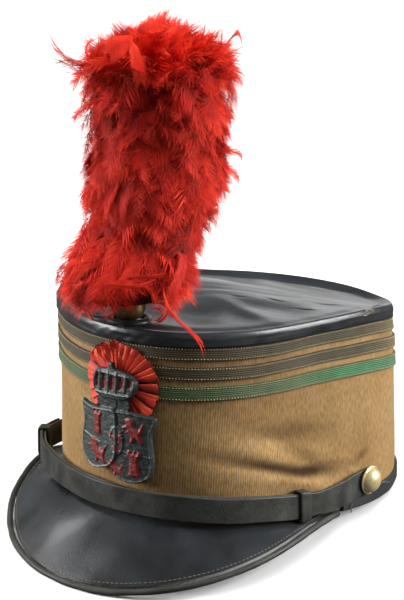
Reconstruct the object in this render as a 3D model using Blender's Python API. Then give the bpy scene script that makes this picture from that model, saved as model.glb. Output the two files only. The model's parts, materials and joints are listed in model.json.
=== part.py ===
"""Military dress shako: twill body, patent leather crown and visor, plume, cockade and cast badge.

The hat stands as it rests on a table: the back of its base and the front of its visor
touch z = 0. The wearer's front faces -Y, the wearer's left is +X, units are metres.
"""

import math

import bmesh
import bpy
import numpy as np
from mathutils import Matrix, Vector

MM = 0.001
WHOLE_TURN = 360.0

# Plan outline of the hat, at the base
MEAN_RADIUS = 93.0 * MM
# Lobes of the worn oval, as shares of the mean radius. The odd ones skew its front half.
OUTLINE_LOBES = (
    # lobe, even share, odd share
    (1, 0.037, 0.000),
    (2, 0.082, 0.026),
    (3, 0.042, 0.010),
    (4, 0.002, 0.030),
)
CROWN_NARROWING = 0.036  # share of the radius lost between floor and crown

# Heights
CROWN_HEIGHT = 110.0 * MM
CROWN_SLOPE = 0.136  # the crown rises towards the front
CROWN_CANT = 0.020  # and a little towards the wearer's left
CROWN_BACK_DROP = 9.0 * MM
BACK_DROP_ANGLES = (86.0, 150.0)  # degrees from the front between which the ridge drops
BASE_FRONT_RISE = 23.7 * MM
BASE_RISE_POWER = 1.75
BASE_FLAT_SHARE = 0.75  # share of the back half length that lies flat on the table

# Walls, gaps and leather
WALL = 2.6 * MM
LEATHER = 1.5 * MM
GAP = 0.3 * MM
CROWN_BAND_DEPTH = 7.0 * MM
WALL_TOP_DROP = 4.4 * MM  # the twill ends under the crown's turned-down band
CROWN_SAG = 3.2 * MM
CROWN_RIDGE_DIP = 1.0 * MM
CROWN_ROLL_DEPTH = 2.2 * MM  # below the ridge, where the turned-down band starts to roll over
CROWN_ROLL_INSET = 0.6 * MM
CROWN_RINGS = (0.975, 0.93, 0.78, 0.45)  # shares of the way from the middle to the ridge

# Tapes
TAPE_WIDTH = 7.0 * MM
GREEN_TAPE_WIDTH = 7.6 * MM
TAPE_SPACING = 3.0 * MM
TAPE_THICKNESS = 0.8 * MM

# Back band
BACK_BAND_WIDTH = 8.0 * MM
BACK_BAND_THICKNESS = 1.2 * MM
BACK_BAND_ENDS = (76.0, 273.0)  # degrees from the front, past the ends of the visor
BACK_BAND_STEPS = 34

# Visor
VISOR_REACH = 46.5 * MM
VISOR_SPAN = 78.0  # degrees from its middle to each end
VISOR_TURN = -5.0  # degrees, the visor sits a little off the middle
VISOR_FORM = (
    # share of the span, share of the reach
    (-1.0, 0.085),
    (-0.94, 0.230),
    (-0.875, 0.350),
    (-0.75, 0.446),
    (-0.625, 0.535),
    (-0.5, 0.653),
    (-0.25, 0.858),
    (-0.125, 0.944),
    (0.0, 1.000),
    (0.125, 0.980),
    (0.25, 0.882),
    (0.375, 0.730),
    (0.5, 0.552),
    (0.625, 0.386),
    (0.75, 0.256),
    (0.875, 0.164),
    (1.0, 0.080),
)
VISOR_SLOPE = 32.0  # degrees down at the front
VISOR_SIDE_SLOPE = -48.0  # degrees added at the ends
VISOR_THICKNESS = 2.0 * MM
VISOR_SEAM_GAP = 1.3 * MM
VISOR_SEAM_RISE = 3.6 * MM  # middle of the seam above the foot of the wall
VISOR_SHEET_END = 0.95  # share of the span where the flat leather stops and only the edge runs on
VISOR_LEAST_RUN = 1.3 * MM
BINDING_DIAMETER = 3.2 * MM
BINDING_REST = 1.4 * MM  # height of its middle line where it lies on the table
BINDING_SEAT = 4.1 * MM  # from the outer edge in to where the flat leather ends
VISOR_ARCH = 0.05  # rise of the sheet's middle, as a share of its width
VISOR_RINGS = (0.0, 0.12, 0.35, 0.6, 0.82, 1.0)  # shares of the way from the seam to the edge
VISOR_STEPS = 34
BINDING_STEPS = 40

# Chin strap
STRAP_WIDTH = 13.2 * MM
STRAP_THICKNESS = 1.5 * MM
STRAP_CLEARANCE = 2.6 * MM
STRAP_STANDOFF = 7.0 * MM  # how far the loose far side stands out
STRAP_END_ANGLE = 95.0
STRAP_END_ROUNDING = 5.0  # degrees
STRAP_SETTLE_ANGLES = (76.0, 86.0)  # between these it comes to lie close to the wall
STRAP_STEPS = 62
STRAP_RUN = (
    # angle in degrees, lift of the middle as a share of the width, standoff share
    (95.0, 1.10, 0.00),
    (89.0, 1.06, 0.00),
    (83.0, 0.97, 0.00),
    (76.0, 0.84, 0.00),
    (66.0, 0.79, 0.00),
    (52.0, 0.82, 0.00),
    (38.0, 0.91, 0.00),
    (24.0, 0.95, 0.00),
    (0.0, 0.91, 0.00),
    (-20.0, 0.89, 0.03),
    (-36.0, 0.91, 0.30),
    (-50.0, 0.98, 0.80),
    (-62.0, 1.07, 1.00),
    (-72.0, 1.12, 0.45),
    (-81.0, 1.10, 0.00),
    (-89.0, 1.06, 0.00),
    (-95.0, 1.10, 0.00),
)
OVERLAP_NEAR_END = 70.0
OVERLAP_FAR_END = -72.0
OVERLAP_POINT = 9.0  # degrees over which the end narrows to its point
OVERLAP_STEPS = 46
KEEPER_WIDTH = 6.5 * MM
KEEPER_THICKNESS = 1.1 * MM
KEEPER_CLEARANCE = 0.6 * MM
KEEPER_ANGLES = {"strap_keeper_left": 54.0, "strap_keeper_right": -61.0}

# Side buttons
BUTTON_DIAMETER = 15.4 * MM
BUTTON_DOME = 4.6 * MM
BUTTON_FLANGE = 0.9 * MM
BUTTON_ANGLE = 89.0
BUTTON_LIFT = 14.6 * MM

# Plume and its socket
SOCKET_X = 0.4 * MM
SOCKET_INSET = 12.5 * MM  # behind the front of the crown
SOCKET_DIAMETER = 17.0 * MM
SOCKET_HEIGHT = 15.0 * MM
SOCKET_WALL = 0.9 * MM
SOCKET_SLOPE_X = 0.02  # how far its axis leans for each unit of height
SOCKET_SLOPE_Y = 0.05
COLLAR_WIDTH = 4.5 * MM
COLLAR_HEIGHT = 2.2 * MM
COLLAR_CLEARANCE = 0.7 * MM
PLUME_HEIGHT = 141.0 * MM
PLUME_RADIUS = 36.0 * MM
PLUME_LEAN_X = 10.0 * MM
PLUME_LEAN_Y = 30.0 * MM
STEM_DIAMETER = 7.0 * MM
PLUME_CLEARANCE = 2.2 * MM  # between the socket's rim and the feathers over it
PLUME_FOOT_RISE = 0.5 * MM
PLUME_TOP_SHARE = 0.97  # share of the height where the last tier ends
PLUME_FORM = (
    # height share, radius share, lean share
    (0.00, 0.70, 0.00),
    (0.08, 0.98, -0.08),
    (0.18, 1.03, 0.02),
    (0.24, 0.92, 0.32),
    (0.41, 1.06, 0.60),
    (0.57, 1.03, 0.65),
    (0.73, 1.13, 0.75),
    (0.86, 1.11, 0.80),
    (0.93, 1.10, 0.78),
    (1.00, 0.50, 0.77),
)
LOCK_TIERS = 9
LOCKS_ROUND = 13
LOCK_DEPTH = 0.17  # share of the radius that a lock stands over the one below
LOCK_DROOP = 7.0 * MM

# Cockade
COCKADE_RADIUS = 21.5 * MM
COCKADE_HUB = 3.0 * MM
COCKADE_PLEATS = 26
COCKADE_PLEAT_DEPTH = 1.6 * MM
COCKADE_THICKNESS = 0.9 * MM
COCKADE_X = 4.0 * MM
COCKADE_DROP = 28.5 * MM  # centre below the crown's front ridge

# Badge
BADGE_WIDTH = 50.0 * MM
BADGE_CLEARANCE = 4.0 * MM  # foot of the badge above the strap's upper edge
BADGE_X = 1.7 * MM
BADGE_DROP = 17.0 * MM  # top of the badge below the crown's front ridge
BADGE_PLATE = 1.6 * MM
BADGE_RELIEF = 0.9 * MM
BADGE_STEP = 0.1 * MM  # how much each raised piece's back stands off the one under it
BADGE_LAP = 0.4 * MM
BADGE_POST_DIAMETER = 3.0 * MM
BADGE_CUT_STEP = 5.0 * MM

SEGMENTS = 60
# Heights of the body's sections below the tapes, as shares of the way from base to crown
WALL_LEVELS = (0.0, 0.08, 0.18, 0.27, 0.36, 0.45, 0.56)

# Dents and folds of the twill wall. Places and sizes are shares: the angle round the hat in
# degrees, the height and the widths as shares of the crown height, the depth of the wall.
WALL_DENTS = (
    # name, angle, height, length, width, tilt in degrees, depth
    ("diagonal_crease", 54.0, 0.440, 0.27, 0.045, -36.0, 1.00),
    ("fold_below_crease", 58.0, 0.310, 0.26, 0.060, -36.0, -0.75),
    ("side_hollow", 50.0, 0.630, 0.24, 0.130, -10.0, 1.10),
    ("flattened_side", 66.0, 0.800, 0.35, 0.450, 0.0, 0.95),
    ("back_swell", 118.0, 0.600, 0.25, 0.500, 0.0, -0.55),
    ("button_pucker", 80.0, 0.260, 0.06, 0.050, 0.0, 0.40),
    ("far_hollow", -75.0, 0.550, 0.28, 0.200, 12.0, 0.55),
    ("back_hollow", 172.0, 0.500, 0.30, 0.160, -8.0, 0.50),
)
# Swells and hollows of the crown's top: place and radius as shares of the mean radius,
# the height as a share of the crown's sag.
CROWN_WAVES = (
    # name, x, y, radius, height
    ("middle_swell", 0.15, -0.10, 0.38, 0.80),
    ("back_fold", 0.25, 0.55, 0.22, -0.45),
    ("left_fold", 0.55, -0.15, 0.20, -0.40),
    ("far_swell", -0.35, 0.30, 0.28, 0.45),
)


def signed_degrees(angle):
    return (math.degrees(angle) + WHOLE_TURN / 2) % WHOLE_TURN - WHOLE_TURN / 2


def smooth_step(value, low, high):
    share = min(max((value - low) / (high - low), 0.0), 1.0)
    return share * share * (3.0 - 2.0 * share)


def between(table, place, column):
    """A column of a table read at a place in its first column, on a smooth curve through its rows."""
    rows = sorted(table, key=lambda row: row[0])
    place = min(max(place, rows[0][0]), rows[-1][0])
    index = max(k for k in range(len(rows) - 1) if rows[k][0] <= place)
    steps = []
    for k in (index, index + 1):
        before = rows[max(k - 1, 0)]
        after = rows[min(k + 1, len(rows) - 1)]
        steps.append((after[column] - before[column]) / (after[0] - before[0]))
    low, high = rows[index], rows[index + 1]
    width = high[0] - low[0]
    t = (place - low[0]) / width
    value = low[column] * (2 * t**3 - 3 * t**2 + 1) + high[column] * (3 * t**2 - 2 * t**3)
    return value + width * (steps[0] * (t**3 - 2 * t**2 + t) + steps[1] * (t**3 - t**2))


def outline_radius(angle):
    share = 1.0
    skew = (1.0 + math.cos(angle)) / 2
    for lobe, even, odd in OUTLINE_LOBES:
        share += even * math.cos(lobe * angle) + skew * odd * math.sin(lobe * angle)
    return MEAN_RADIUS * share


def narrowing(height):
    return 1.0 - CROWN_NARROWING * height / CROWN_HEIGHT


def dent_depth(angle, height):
    depth = 0.0
    for _, middle, level, length, width, tilt, share in WALL_DENTS:
        turn = signed_degrees(angle - math.radians(middle))
        along = math.radians(turn) * MEAN_RADIUS
        across = height - level * CROWN_HEIGHT
        lean = math.radians(tilt)
        u = along * math.cos(lean) + across * math.sin(lean)
        v = across * math.cos(lean) - along * math.sin(lean)
        u /= length * CROWN_HEIGHT
        v /= width * CROWN_HEIGHT
        depth += share * WALL * math.exp(-u * u - v * v)
    # The dents fade out where the stiff edges hold the wall.
    top = crown_height(angle)
    edge = smooth_step(height, 0.0, 0.14 * CROWN_HEIGHT) * smooth_step(top - height, 0.0, 0.2 * CROWN_HEIGHT)
    return depth * edge


def plan_point(angle, height, extra=0.0):
    radius = outline_radius(angle) * narrowing(height) + extra
    return np.array((radius * math.sin(angle), -radius * math.cos(angle)))


def plan_normal(angle, height):
    step = 0.01
    ahead = plan_point(angle + step, height) - plan_point(angle - step, height)
    normal = np.array((ahead[1], -ahead[0]))
    return normal / np.linalg.norm(normal)


def wall_point(angle, height, offset=0.0):
    """A point of the outer face of the wall, moved out by the offset."""
    flat = plan_point(angle, height, -dent_depth(angle, height))
    flat = flat + plan_normal(angle, height) * offset
    return Vector((flat[0], flat[1], height))


def base_height(angle):
    """Height of the base edge: flat at the back, rising to the front."""
    y = plan_point(angle, 0.0)[1]
    flat_y = BASE_FLAT_SHARE * outline_radius(math.pi)
    share = max(0.0, (flat_y - y) / (flat_y + outline_radius(0.0)))
    return BASE_FRONT_RISE * share**BASE_RISE_POWER


def crown_height(angle):
    """Height of the crown's ridge: higher in front, dropping at the back."""
    x, y = plan_point(angle, CROWN_HEIGHT)
    drop = CROWN_BACK_DROP * smooth_step(abs(signed_degrees(angle)), *BACK_DROP_ANGLES)
    return CROWN_HEIGHT - CROWN_SLOPE * y + CROWN_CANT * x - drop


def angles(start=0.0, end=WHOLE_TURN, steps=SEGMENTS):
    """Angles in radians. A whole turn leaves out its last angle."""
    whole = abs(end - start) >= WHOLE_TURN
    count = steps if whole else steps + 1
    return [math.radians(start + (end - start) * k / steps) for k in range(count)]


def srgb(hex_colour):
    values = [int(hex_colour[i : i + 2], 16) / 255.0 for i in (0, 2, 4)]
    linear = [v / 12.92 if v <= 0.04045 else ((v + 0.055) / 1.055) ** 2.4 for v in values]
    return (*linear, 1.0)


def finish(name, hex_colour, roughness, metallic=0.0):
    material = bpy.data.materials.new(name)
    material.use_nodes = True
    shader = material.node_tree.nodes["Principled BSDF"]
    shader.inputs["Base Color"].default_value = srgb(hex_colour)
    shader.inputs["Roughness"].default_value = roughness
    shader.inputs["Metallic"].default_value = metallic
    return material


def new_object(name, mesh, material):
    obj = bpy.data.objects.new(name, mesh)
    mesh.materials.append(material)
    bpy.context.scene.collection.objects.link(obj)
    return obj


def sheet_mesh(name, rows, closed):
    """A sheet through rows of points, joined round when closed."""
    count = len(rows[0])
    points = [point for row in rows for point in row]
    faces = []
    for r in range(len(rows) - 1):
        for c in range(count if closed else count - 1):
            d = (c + 1) % count
            faces.append((r * count + c, r * count + d, (r + 1) * count + d, (r + 1) * count + c))
    mesh = bpy.data.meshes.new(name)
    mesh.from_pydata([tuple(p) for p in points], [], faces)
    return mesh


def sheet_wall(obj, thickness):
    """Gives a sheet a wall, grown against its normals."""
    wall = obj.modifiers.new("Wall", "SOLIDIFY")
    wall.thickness = thickness
    wall.offset = -1.0


def band(name, turns, heights, low, high, material, closed=True):
    """A wall that follows the hat round, between two distances from its face.

    For each angle, heights gives the section's heights from the lower edge up. A distance may
    be one number or a function of the angle and height.
    """
    loops = []
    for turn in turns:
        section = []
        levels = heights(turn)
        for height in levels:
            section.append(wall_point(turn, height, distance_at(high, turn, height)))
        for height in reversed(levels):
            section.append(wall_point(turn, height, distance_at(low, turn, height)))
        loops.append(section)
    obj = new_object(name, swept_mesh(name, loops, not closed), material)
    smooth(obj)
    return obj


def distance_at(distance, turn, height):
    return distance(turn, height) if callable(distance) else distance


def swept_mesh(name, loops, capped):
    """Loops of points joined one to the next, with end caps or joined round."""
    count = len(loops[0])
    points = [tuple(point) for loop in loops for point in loop]
    last = len(loops) - 1 if capped else len(loops)
    faces = []
    for r in range(last):
        s = (r + 1) % len(loops)
        for c in range(count):
            d = (c + 1) % count
            faces.append((r * count + c, s * count + c, s * count + d, r * count + d))
    if capped:
        faces.append(tuple(range(count)))
        faces.append(tuple(reversed(range((len(loops) - 1) * count, len(loops) * count))))
    mesh = bpy.data.meshes.new(name)
    mesh.from_pydata(points, [], faces)
    face_out(mesh)
    return mesh


def face_out(mesh):
    made = bmesh.new()
    made.from_mesh(mesh)
    bmesh.ops.recalc_face_normals(made, faces=made.faces)
    if made.calc_volume(signed=True) < 0:
        bmesh.ops.reverse_faces(made, faces=made.faces)
    made.to_mesh(mesh)
    made.free()


def turned_mesh(name, profile, steps, frame):
    """A profile of (radius, height) points turned round the frame's Z axis."""
    points = []
    faces = []
    rings = []
    for radius, height in profile:
        if radius < 1e-7:
            rings.append([len(points)])
            points.append(frame @ Vector((0, 0, height)))
            continue
        rings.append(list(range(len(points), len(points) + steps)))
        for k in range(steps):
            turn = 2 * math.pi * k / steps
            points.append(frame @ Vector((radius * math.cos(turn), radius * math.sin(turn), height)))
    for low, high in zip(rings, rings[1:]):
        for k in range(steps):
            m = (k + 1) % steps
            corners = [low[k % len(low)], low[m % len(low)], high[m % len(high)], high[k % len(high)]]
            faces.append(tuple(dict.fromkeys(corners)))
    mesh = bpy.data.meshes.new(name)
    mesh.from_pydata([tuple(p) for p in points], [], faces)
    face_out(mesh)
    return mesh


def smooth(obj, limit=40.0):
    obj.data.shade_smooth()
    obj.data.set_sharp_from_angle(angle=math.radians(limit))


def frame_along(place, direction):
    """A frame at a place whose Z axis points along the direction."""
    return Matrix.Translation(place) @ Vector(direction).to_track_quat("Z", "Y").to_matrix().to_4x4()


def tape_depth(index):
    """Depth of a tape's upper edge below the crown's ridge."""
    return CROWN_BAND_DEPTH + GAP + index * (TAPE_WIDTH + TAPE_SPACING)


def body_levels(angle):
    low = base_height(angle)
    top = crown_height(angle)
    levels = [low + share * (top - low) for share in WALL_LEVELS]
    return levels + [top - tape_depth(2) - GREEN_TAPE_WIDTH, top - tape_depth(1), top - WALL_TOP_DROP]


def make_body():
    twill = finish("Tan wool twill", "A5824F", 0.9)
    band("body", angles(), body_levels, -WALL, 0.0, twill)


def crown_surface(x, y, ridge, share):
    """Height of the crown's top at a share of the way from its middle to its ridge."""
    waves = 0.0
    for _, wave_x, wave_y, radius, height in CROWN_WAVES:
        away = math.hypot(x / MEAN_RADIUS - wave_x, y / MEAN_RADIUS - wave_y) / radius
        waves += height * CROWN_SAG * math.exp(-away * away)
    middle = CROWN_HEIGHT - CROWN_SLOPE * y + CROWN_CANT * x - CROWN_BACK_DROP * smooth_step(y, 0.0, MEAN_RADIUS)
    height = middle + (ridge - middle) * share**6
    sag = CROWN_SAG * (1.0 - share**4) + CROWN_RIDGE_DIP * math.exp(-(((share - 0.93) / 0.05) ** 2))
    return height - sag + waves * (1.0 - share**8)


def make_crown():
    leather = finish("Black patent leather", "16171A", 0.18)
    rows = []
    stand = LEATHER + GAP
    for depth in (CROWN_BAND_DEPTH, CROWN_ROLL_DEPTH):
        rows.append([wall_point(angle, crown_height(angle) - depth, stand) for angle in angles()])
    ridges = [wall_point(angle, crown_height(angle), stand - CROWN_ROLL_INSET) for angle in angles()]
    rows.append(ridges)
    for share in CROWN_RINGS:
        row = []
        for ridge in ridges:
            x, y = ridge.x * share, ridge.y * share
            row.append(Vector((x, y, crown_surface(x, y, ridge.z, share))))
        rows.append(row)
    mesh = sheet_mesh("crown_top", rows, True)
    made = bmesh.new()
    made.from_mesh(mesh)
    made.verts.ensure_lookup_table()
    rim = [made.verts[(len(rows) - 1) * SEGMENTS + k] for k in range(SEGMENTS)]
    centre = made.verts.new((0.0, 0.0, crown_surface(0.0, 0.0, CROWN_HEIGHT, 0.0)))
    for k in range(SEGMENTS):
        made.faces.new((rim[k], rim[(k + 1) % SEGMENTS], centre))
    made.to_mesh(mesh)
    made.free()
    crown = new_object("crown_top", mesh, leather)
    sheet_wall(crown, LEATHER)
    smooth(crown)


def make_tapes():
    black = finish("Black braid with gold stitch", "3A3128", 0.85)
    green = finish("Green braid with gold stitch", "3D6B3F", 0.8)
    rows = (
        ("tape_upper", 0, TAPE_WIDTH, black),
        ("tape_middle", 1, TAPE_WIDTH, black),
        ("tape_green", 2, GREEN_TAPE_WIDTH, green),
    )
    for name, index, width, material in rows:
        top = tape_depth(index)

        def levels(angle, top=top, width=width):
            ridge = crown_height(angle)
            return [ridge - top - width, ridge - top]

        band(name, angles(), levels, GAP, GAP + TAPE_THICKNESS, material)


def make_back_band():
    leather = finish("Black leather band", "1B1C20", 0.45)

    def levels(angle):
        low = base_height(angle)
        return [low + GAP, low + BACK_BAND_WIDTH]

    turns = angles(*BACK_BAND_ENDS, BACK_BAND_STEPS)
    band("back_band", turns, levels, GAP, GAP + BACK_BAND_THICKNESS, leather, closed=False)


def visor_edge(angle_share, inset=0.0):
    """A point of the visor's outer edge, at a share from one end to the other."""
    turn = math.radians(VISOR_TURN + VISOR_SPAN * angle_share)
    reach = VISOR_REACH * between(VISOR_FORM, angle_share, 1)
    slope = math.radians(VISOR_SLOPE + VISOR_SIDE_SLOPE * angle_share**2)
    base = wall_point(turn, base_height(turn))
    normal = plan_normal(turn, base.z)
    run = max(reach - inset, VISOR_LEAST_RUN)
    x = base.x + normal[0] * run * math.cos(slope)
    y = base.y + normal[1] * run * math.cos(slope)
    return Vector((x, y, base.z - run * math.sin(slope)))


def on_table(point, radius):
    """The edge lies on the table where the visor's slope would carry it below."""
    return Vector((point.x, point.y, max(point.z, radius)))


def visor_inner(angle_share):
    turn = math.radians(VISOR_TURN + VISOR_SPAN * angle_share)
    rise = VISOR_SEAM_RISE * (1.0 - angle_share**4)
    return wall_point(turn, base_height(turn) + rise, VISOR_SEAM_GAP)


def visor_shares(steps, end=1.0):
    return [end * (2.0 * k / steps - 1.0) for k in range(steps + 1)]


def make_visor():
    leather = finish("Black patent leather visor", "15161A", 0.2)
    bound = finish("Black rolled leather edge", "1A1B1F", 0.4)
    radius = BINDING_DIAMETER / 2
    rows = []
    for depth in VISOR_RINGS:
        row = []
        for share in visor_shares(VISOR_STEPS, VISOR_SHEET_END):
            inner = visor_inner(share)
            outer = on_table(visor_edge(share, BINDING_SEAT), BINDING_REST)
            point = inner.lerp(outer, depth)
            # The sheet arches a little between its seam and its edge.
            width = (outer - inner).length
            point.z += VISOR_ARCH * width * math.sin(math.pi * depth) + VISOR_THICKNESS / 2 * depth
            row.append(point)
        rows.append(row)
    visor = new_object("visor", sheet_mesh("visor", rows, False), leather)
    face_out_sheet(visor.data, Vector((0, 0, 1)))
    sheet_wall(visor, VISOR_THICKNESS)
    smooth(visor)
    path = [on_table(visor_edge(share, radius), BINDING_REST) for share in visor_shares(BINDING_STEPS)]
    smooth(tube("visor_binding", path, radius, bound))


def face_out_sheet(mesh, up):
    """Turns an open sheet over where its faces point away from the given direction."""
    if sum((face.normal.dot(up) * face.area for face in mesh.polygons)) < 0:
        mesh.flip_normals()


def tube(name, path, radius, material):
    curve = bpy.data.curves.new(name, "CURVE")
    curve.dimensions = "3D"
    curve.bevel_depth = radius
    curve.bevel_resolution = 1
    curve.use_fill_caps = True
    spline = curve.splines.new("POLY")
    spline.points.add(len(path) - 1)
    for point, place in zip(spline.points, path):
        point.co = (*place, 1.0)
    guide = bpy.data.objects.new(name + "_path", curve)
    bpy.context.scene.collection.objects.link(guide)
    mesh = made_mesh(guide)
    bpy.data.objects.remove(guide)
    weld(mesh)
    face_out(mesh)
    return new_object(name, mesh, material)


def made_mesh(obj):
    """The object's mesh with its modifiers applied."""
    bpy.context.view_layer.update()
    graph = bpy.context.evaluated_depsgraph_get()
    return bpy.data.meshes.new_from_object(obj.evaluated_get(graph))


def weld(mesh, distance=0.01 * MM):
    made = bmesh.new()
    made.from_mesh(mesh)
    bmesh.ops.remove_doubles(made, verts=made.verts, dist=distance)
    made.to_mesh(mesh)
    made.free()


def strap_middle(angle):
    """Height of the chin strap's middle line."""
    lift = between(STRAP_RUN, signed_degrees(angle), 1)
    return base_height(angle) + lift * STRAP_WIDTH


def strap_offset(angle, layer):
    """Distance of a strap layer's inner face from the wall."""
    degrees = signed_degrees(angle)
    stand = between(STRAP_RUN, degrees, 2) * STRAP_STANDOFF
    ends = smooth_step(abs(degrees), *STRAP_SETTLE_ANGLES)
    clearance = STRAP_CLEARANCE + (GAP + LEATHER - STRAP_CLEARANCE) * ends
    return clearance + stand + layer * (STRAP_THICKNESS + GAP)


def strap_point(degrees, layer, rise):
    """A point of a strap layer's inner face, at a share of its width above its middle."""
    angle = math.radians(degrees)
    return wall_point(angle, strap_middle(angle) + rise * STRAP_WIDTH, strap_offset(angle, layer))


def make_strap_layer(name, layer, turns, low_edge, high_edge):
    """One layer of the strap. The edges are shares of its width as functions of the angle."""
    leather = finish("Black strap leather " + name, "1E1D1F", 0.5)

    def levels(angle):
        middle = strap_middle(angle)
        return [middle + low_edge(angle) * STRAP_WIDTH, middle + high_edge(angle) * STRAP_WIDTH]

    def inner(angle, height):
        return strap_offset(angle, layer)

    def outer(angle, height):
        return strap_offset(angle, layer) + STRAP_THICKNESS

    band(name, turns, levels, inner, outer, leather, closed=False)


def make_strap():
    def end_half(angle):
        """Rounds the corners of the strap's ends."""
        share = (STRAP_END_ANGLE - abs(signed_degrees(angle))) / STRAP_END_ROUNDING
        return 0.3 + 0.2 * math.sqrt(min(1.0, max(0.0, share)))

    def tail_top(angle):
        """Slants the overlap's near end down to a point."""
        narrow = smooth_step(OVERLAP_NEAR_END - signed_degrees(angle), -2.0, OVERLAP_POINT)
        return -0.5 + max(narrow, 0.12)

    turns = angles(-STRAP_END_ANGLE, STRAP_END_ANGLE, STRAP_STEPS)
    make_strap_layer("chin_strap", 0, turns, lambda angle: -end_half(angle), end_half)
    turns = angles(OVERLAP_FAR_END, OVERLAP_NEAR_END, OVERLAP_STEPS)
    make_strap_layer("strap_overlap", 1, turns, lambda angle: -0.5, tail_top)


def make_keepers():
    leather = finish("Black keeper leather", "222226", 0.5)
    for name, degrees in KEEPER_ANGLES.items():
        half_turn = math.degrees(KEEPER_WIDTH / 2 / MEAN_RADIUS)
        loops = []
        for grow in (0.0, KEEPER_THICKNESS):
            for side in (-1.0, 1.0):
                corners = []
                turn = degrees + side * half_turn
                inner = strap_point(turn, 0, 0.0)
                outer = strap_point(turn, 1, 0.0)
                normal = Vector((*plan_normal(math.radians(turn), inner.z), 0.0))
                inner = inner - normal * (KEEPER_CLEARANCE + grow)
                outer = outer + normal * (STRAP_THICKNESS + KEEPER_CLEARANCE + grow)
                half = STRAP_WIDTH / 2 + KEEPER_CLEARANCE + grow
                for place, rise in ((inner, -half), (outer, -half), (outer, half), (inner, half)):
                    corners.append(place + Vector((0, 0, rise)))
                loops.append(corners)
        order = [loops[0], loops[1], loops[3], loops[2]]
        smooth(new_object(name, swept_mesh(name, order, False), leather))


def make_buttons():
    brass = finish("Polished brass", "C9A24A", 0.25, 1.0)
    radius = BUTTON_DIAMETER / 2
    profile = [(0.0, 0.0), (radius, 0.0), (radius, BUTTON_FLANGE), (radius * 0.9, BUTTON_FLANGE)]
    for k in range(1, 5):
        turn = math.pi / 2 * k / 4
        profile.append((radius * 0.9 * math.cos(turn), BUTTON_FLANGE + BUTTON_DOME * math.sin(turn)))
    profile[-1] = (0.0, profile[-1][1])
    for name, side in (("button_left", 1.0), ("button_right", -1.0)):
        angle = math.radians(side * BUTTON_ANGLE)
        height = base_height(angle) + BUTTON_LIFT
        normal = Vector((*plan_normal(angle, height), 0.0))
        place = wall_point(angle, height)
        reach = 0.0
        for turn in range(-6, 7):
            for rise in (-0.5, 0.0, 0.5):
                strap = strap_point(side * BUTTON_ANGLE + turn, 0, rise)
                reach = max(reach, (strap - place).dot(normal))
        place = place + normal * (reach + STRAP_THICKNESS + GAP)
        smooth(new_object(name, turned_mesh(name, profile, 16, frame_along(place, normal)), brass))


def front_ridge():
    return wall_point(0.0, crown_height(0.0))


def socket_place():
    """Where the socket's axis meets the crown's top."""
    ridge = front_ridge()
    y = ridge.y + SOCKET_INSET
    share = y / ridge.y
    return Vector((SOCKET_X, y, crown_surface(SOCKET_X, y, ridge.z, share)))


def plume_axis(share):
    """The plume's middle line, from the socket to its tip, bending back as it rises."""
    foot = socket_place() + Vector((0, 0, COLLAR_HEIGHT))
    lean = between(PLUME_FORM, share, 2)
    return foot + Vector((PLUME_LEAN_X * lean, PLUME_LEAN_Y * lean, PLUME_HEIGHT * share))


def socket_frame():
    return frame_along(plume_axis(0.0), (SOCKET_SLOPE_X, SOCKET_SLOPE_Y, 1.0))


def make_socket():
    brass = finish("Aged brass", "A8843C", 0.35, 1.0)
    leather = finish("Black collar leather", "202024", 0.4)
    radius = SOCKET_DIAMETER / 2
    low = COLLAR_HEIGHT * 0.6
    profile = [(0.0, -low)]
    for k in range(1, 5):
        turn = math.pi / 2 * k / 4
        profile.append((radius * math.sin(turn), -low + radius * 0.8 * (1 - math.cos(turn))))
    profile.append((radius, SOCKET_HEIGHT))
    profile.append((radius - SOCKET_WALL, SOCKET_HEIGHT))
    inside = radius - SOCKET_WALL
    for k in range(4, 0, -1):
        turn = math.pi / 2 * k / 4
        profile.append((inside * math.sin(turn), SOCKET_WALL - low + inside * 0.8 * (1 - math.cos(turn))))
    profile.append((0.0, SOCKET_WALL - low))
    smooth(new_object("plume_socket", turned_mesh("plume_socket", profile, 18, socket_frame()), brass))
    # The lip is a ring of leather on the crown, under the round of the cup.
    hole = radius * 0.82 + GAP
    ring = [(hole, 0.0), (hole + COLLAR_WIDTH, 0.0), (hole + COLLAR_WIDTH * 0.6, COLLAR_HEIGHT * 0.8)]
    ring += [(hole + COLLAR_WIDTH * 0.2, COLLAR_HEIGHT), (hole, COLLAR_HEIGHT * 0.7), (hole, 0.0)]
    place = socket_place() + Vector((0, 0, COLLAR_CLEARANCE))
    slope = Vector((-CROWN_CANT, CROWN_SLOPE, 1.0))
    mesh = turned_ring("socket_collar", ring[:-1], 20, frame_along(place, slope))
    smooth(new_object("socket_collar", mesh, leather))


def turned_ring(name, section, steps, frame):
    """A closed section turned round the frame's Z axis, clear of that axis."""
    loops = []
    for k in range(steps):
        turn = 2 * math.pi * k / steps
        loops.append([frame @ Vector((r * math.cos(turn), r * math.sin(turn), h)) for r, h in section])
    return swept_mesh(name, loops, False)


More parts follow.
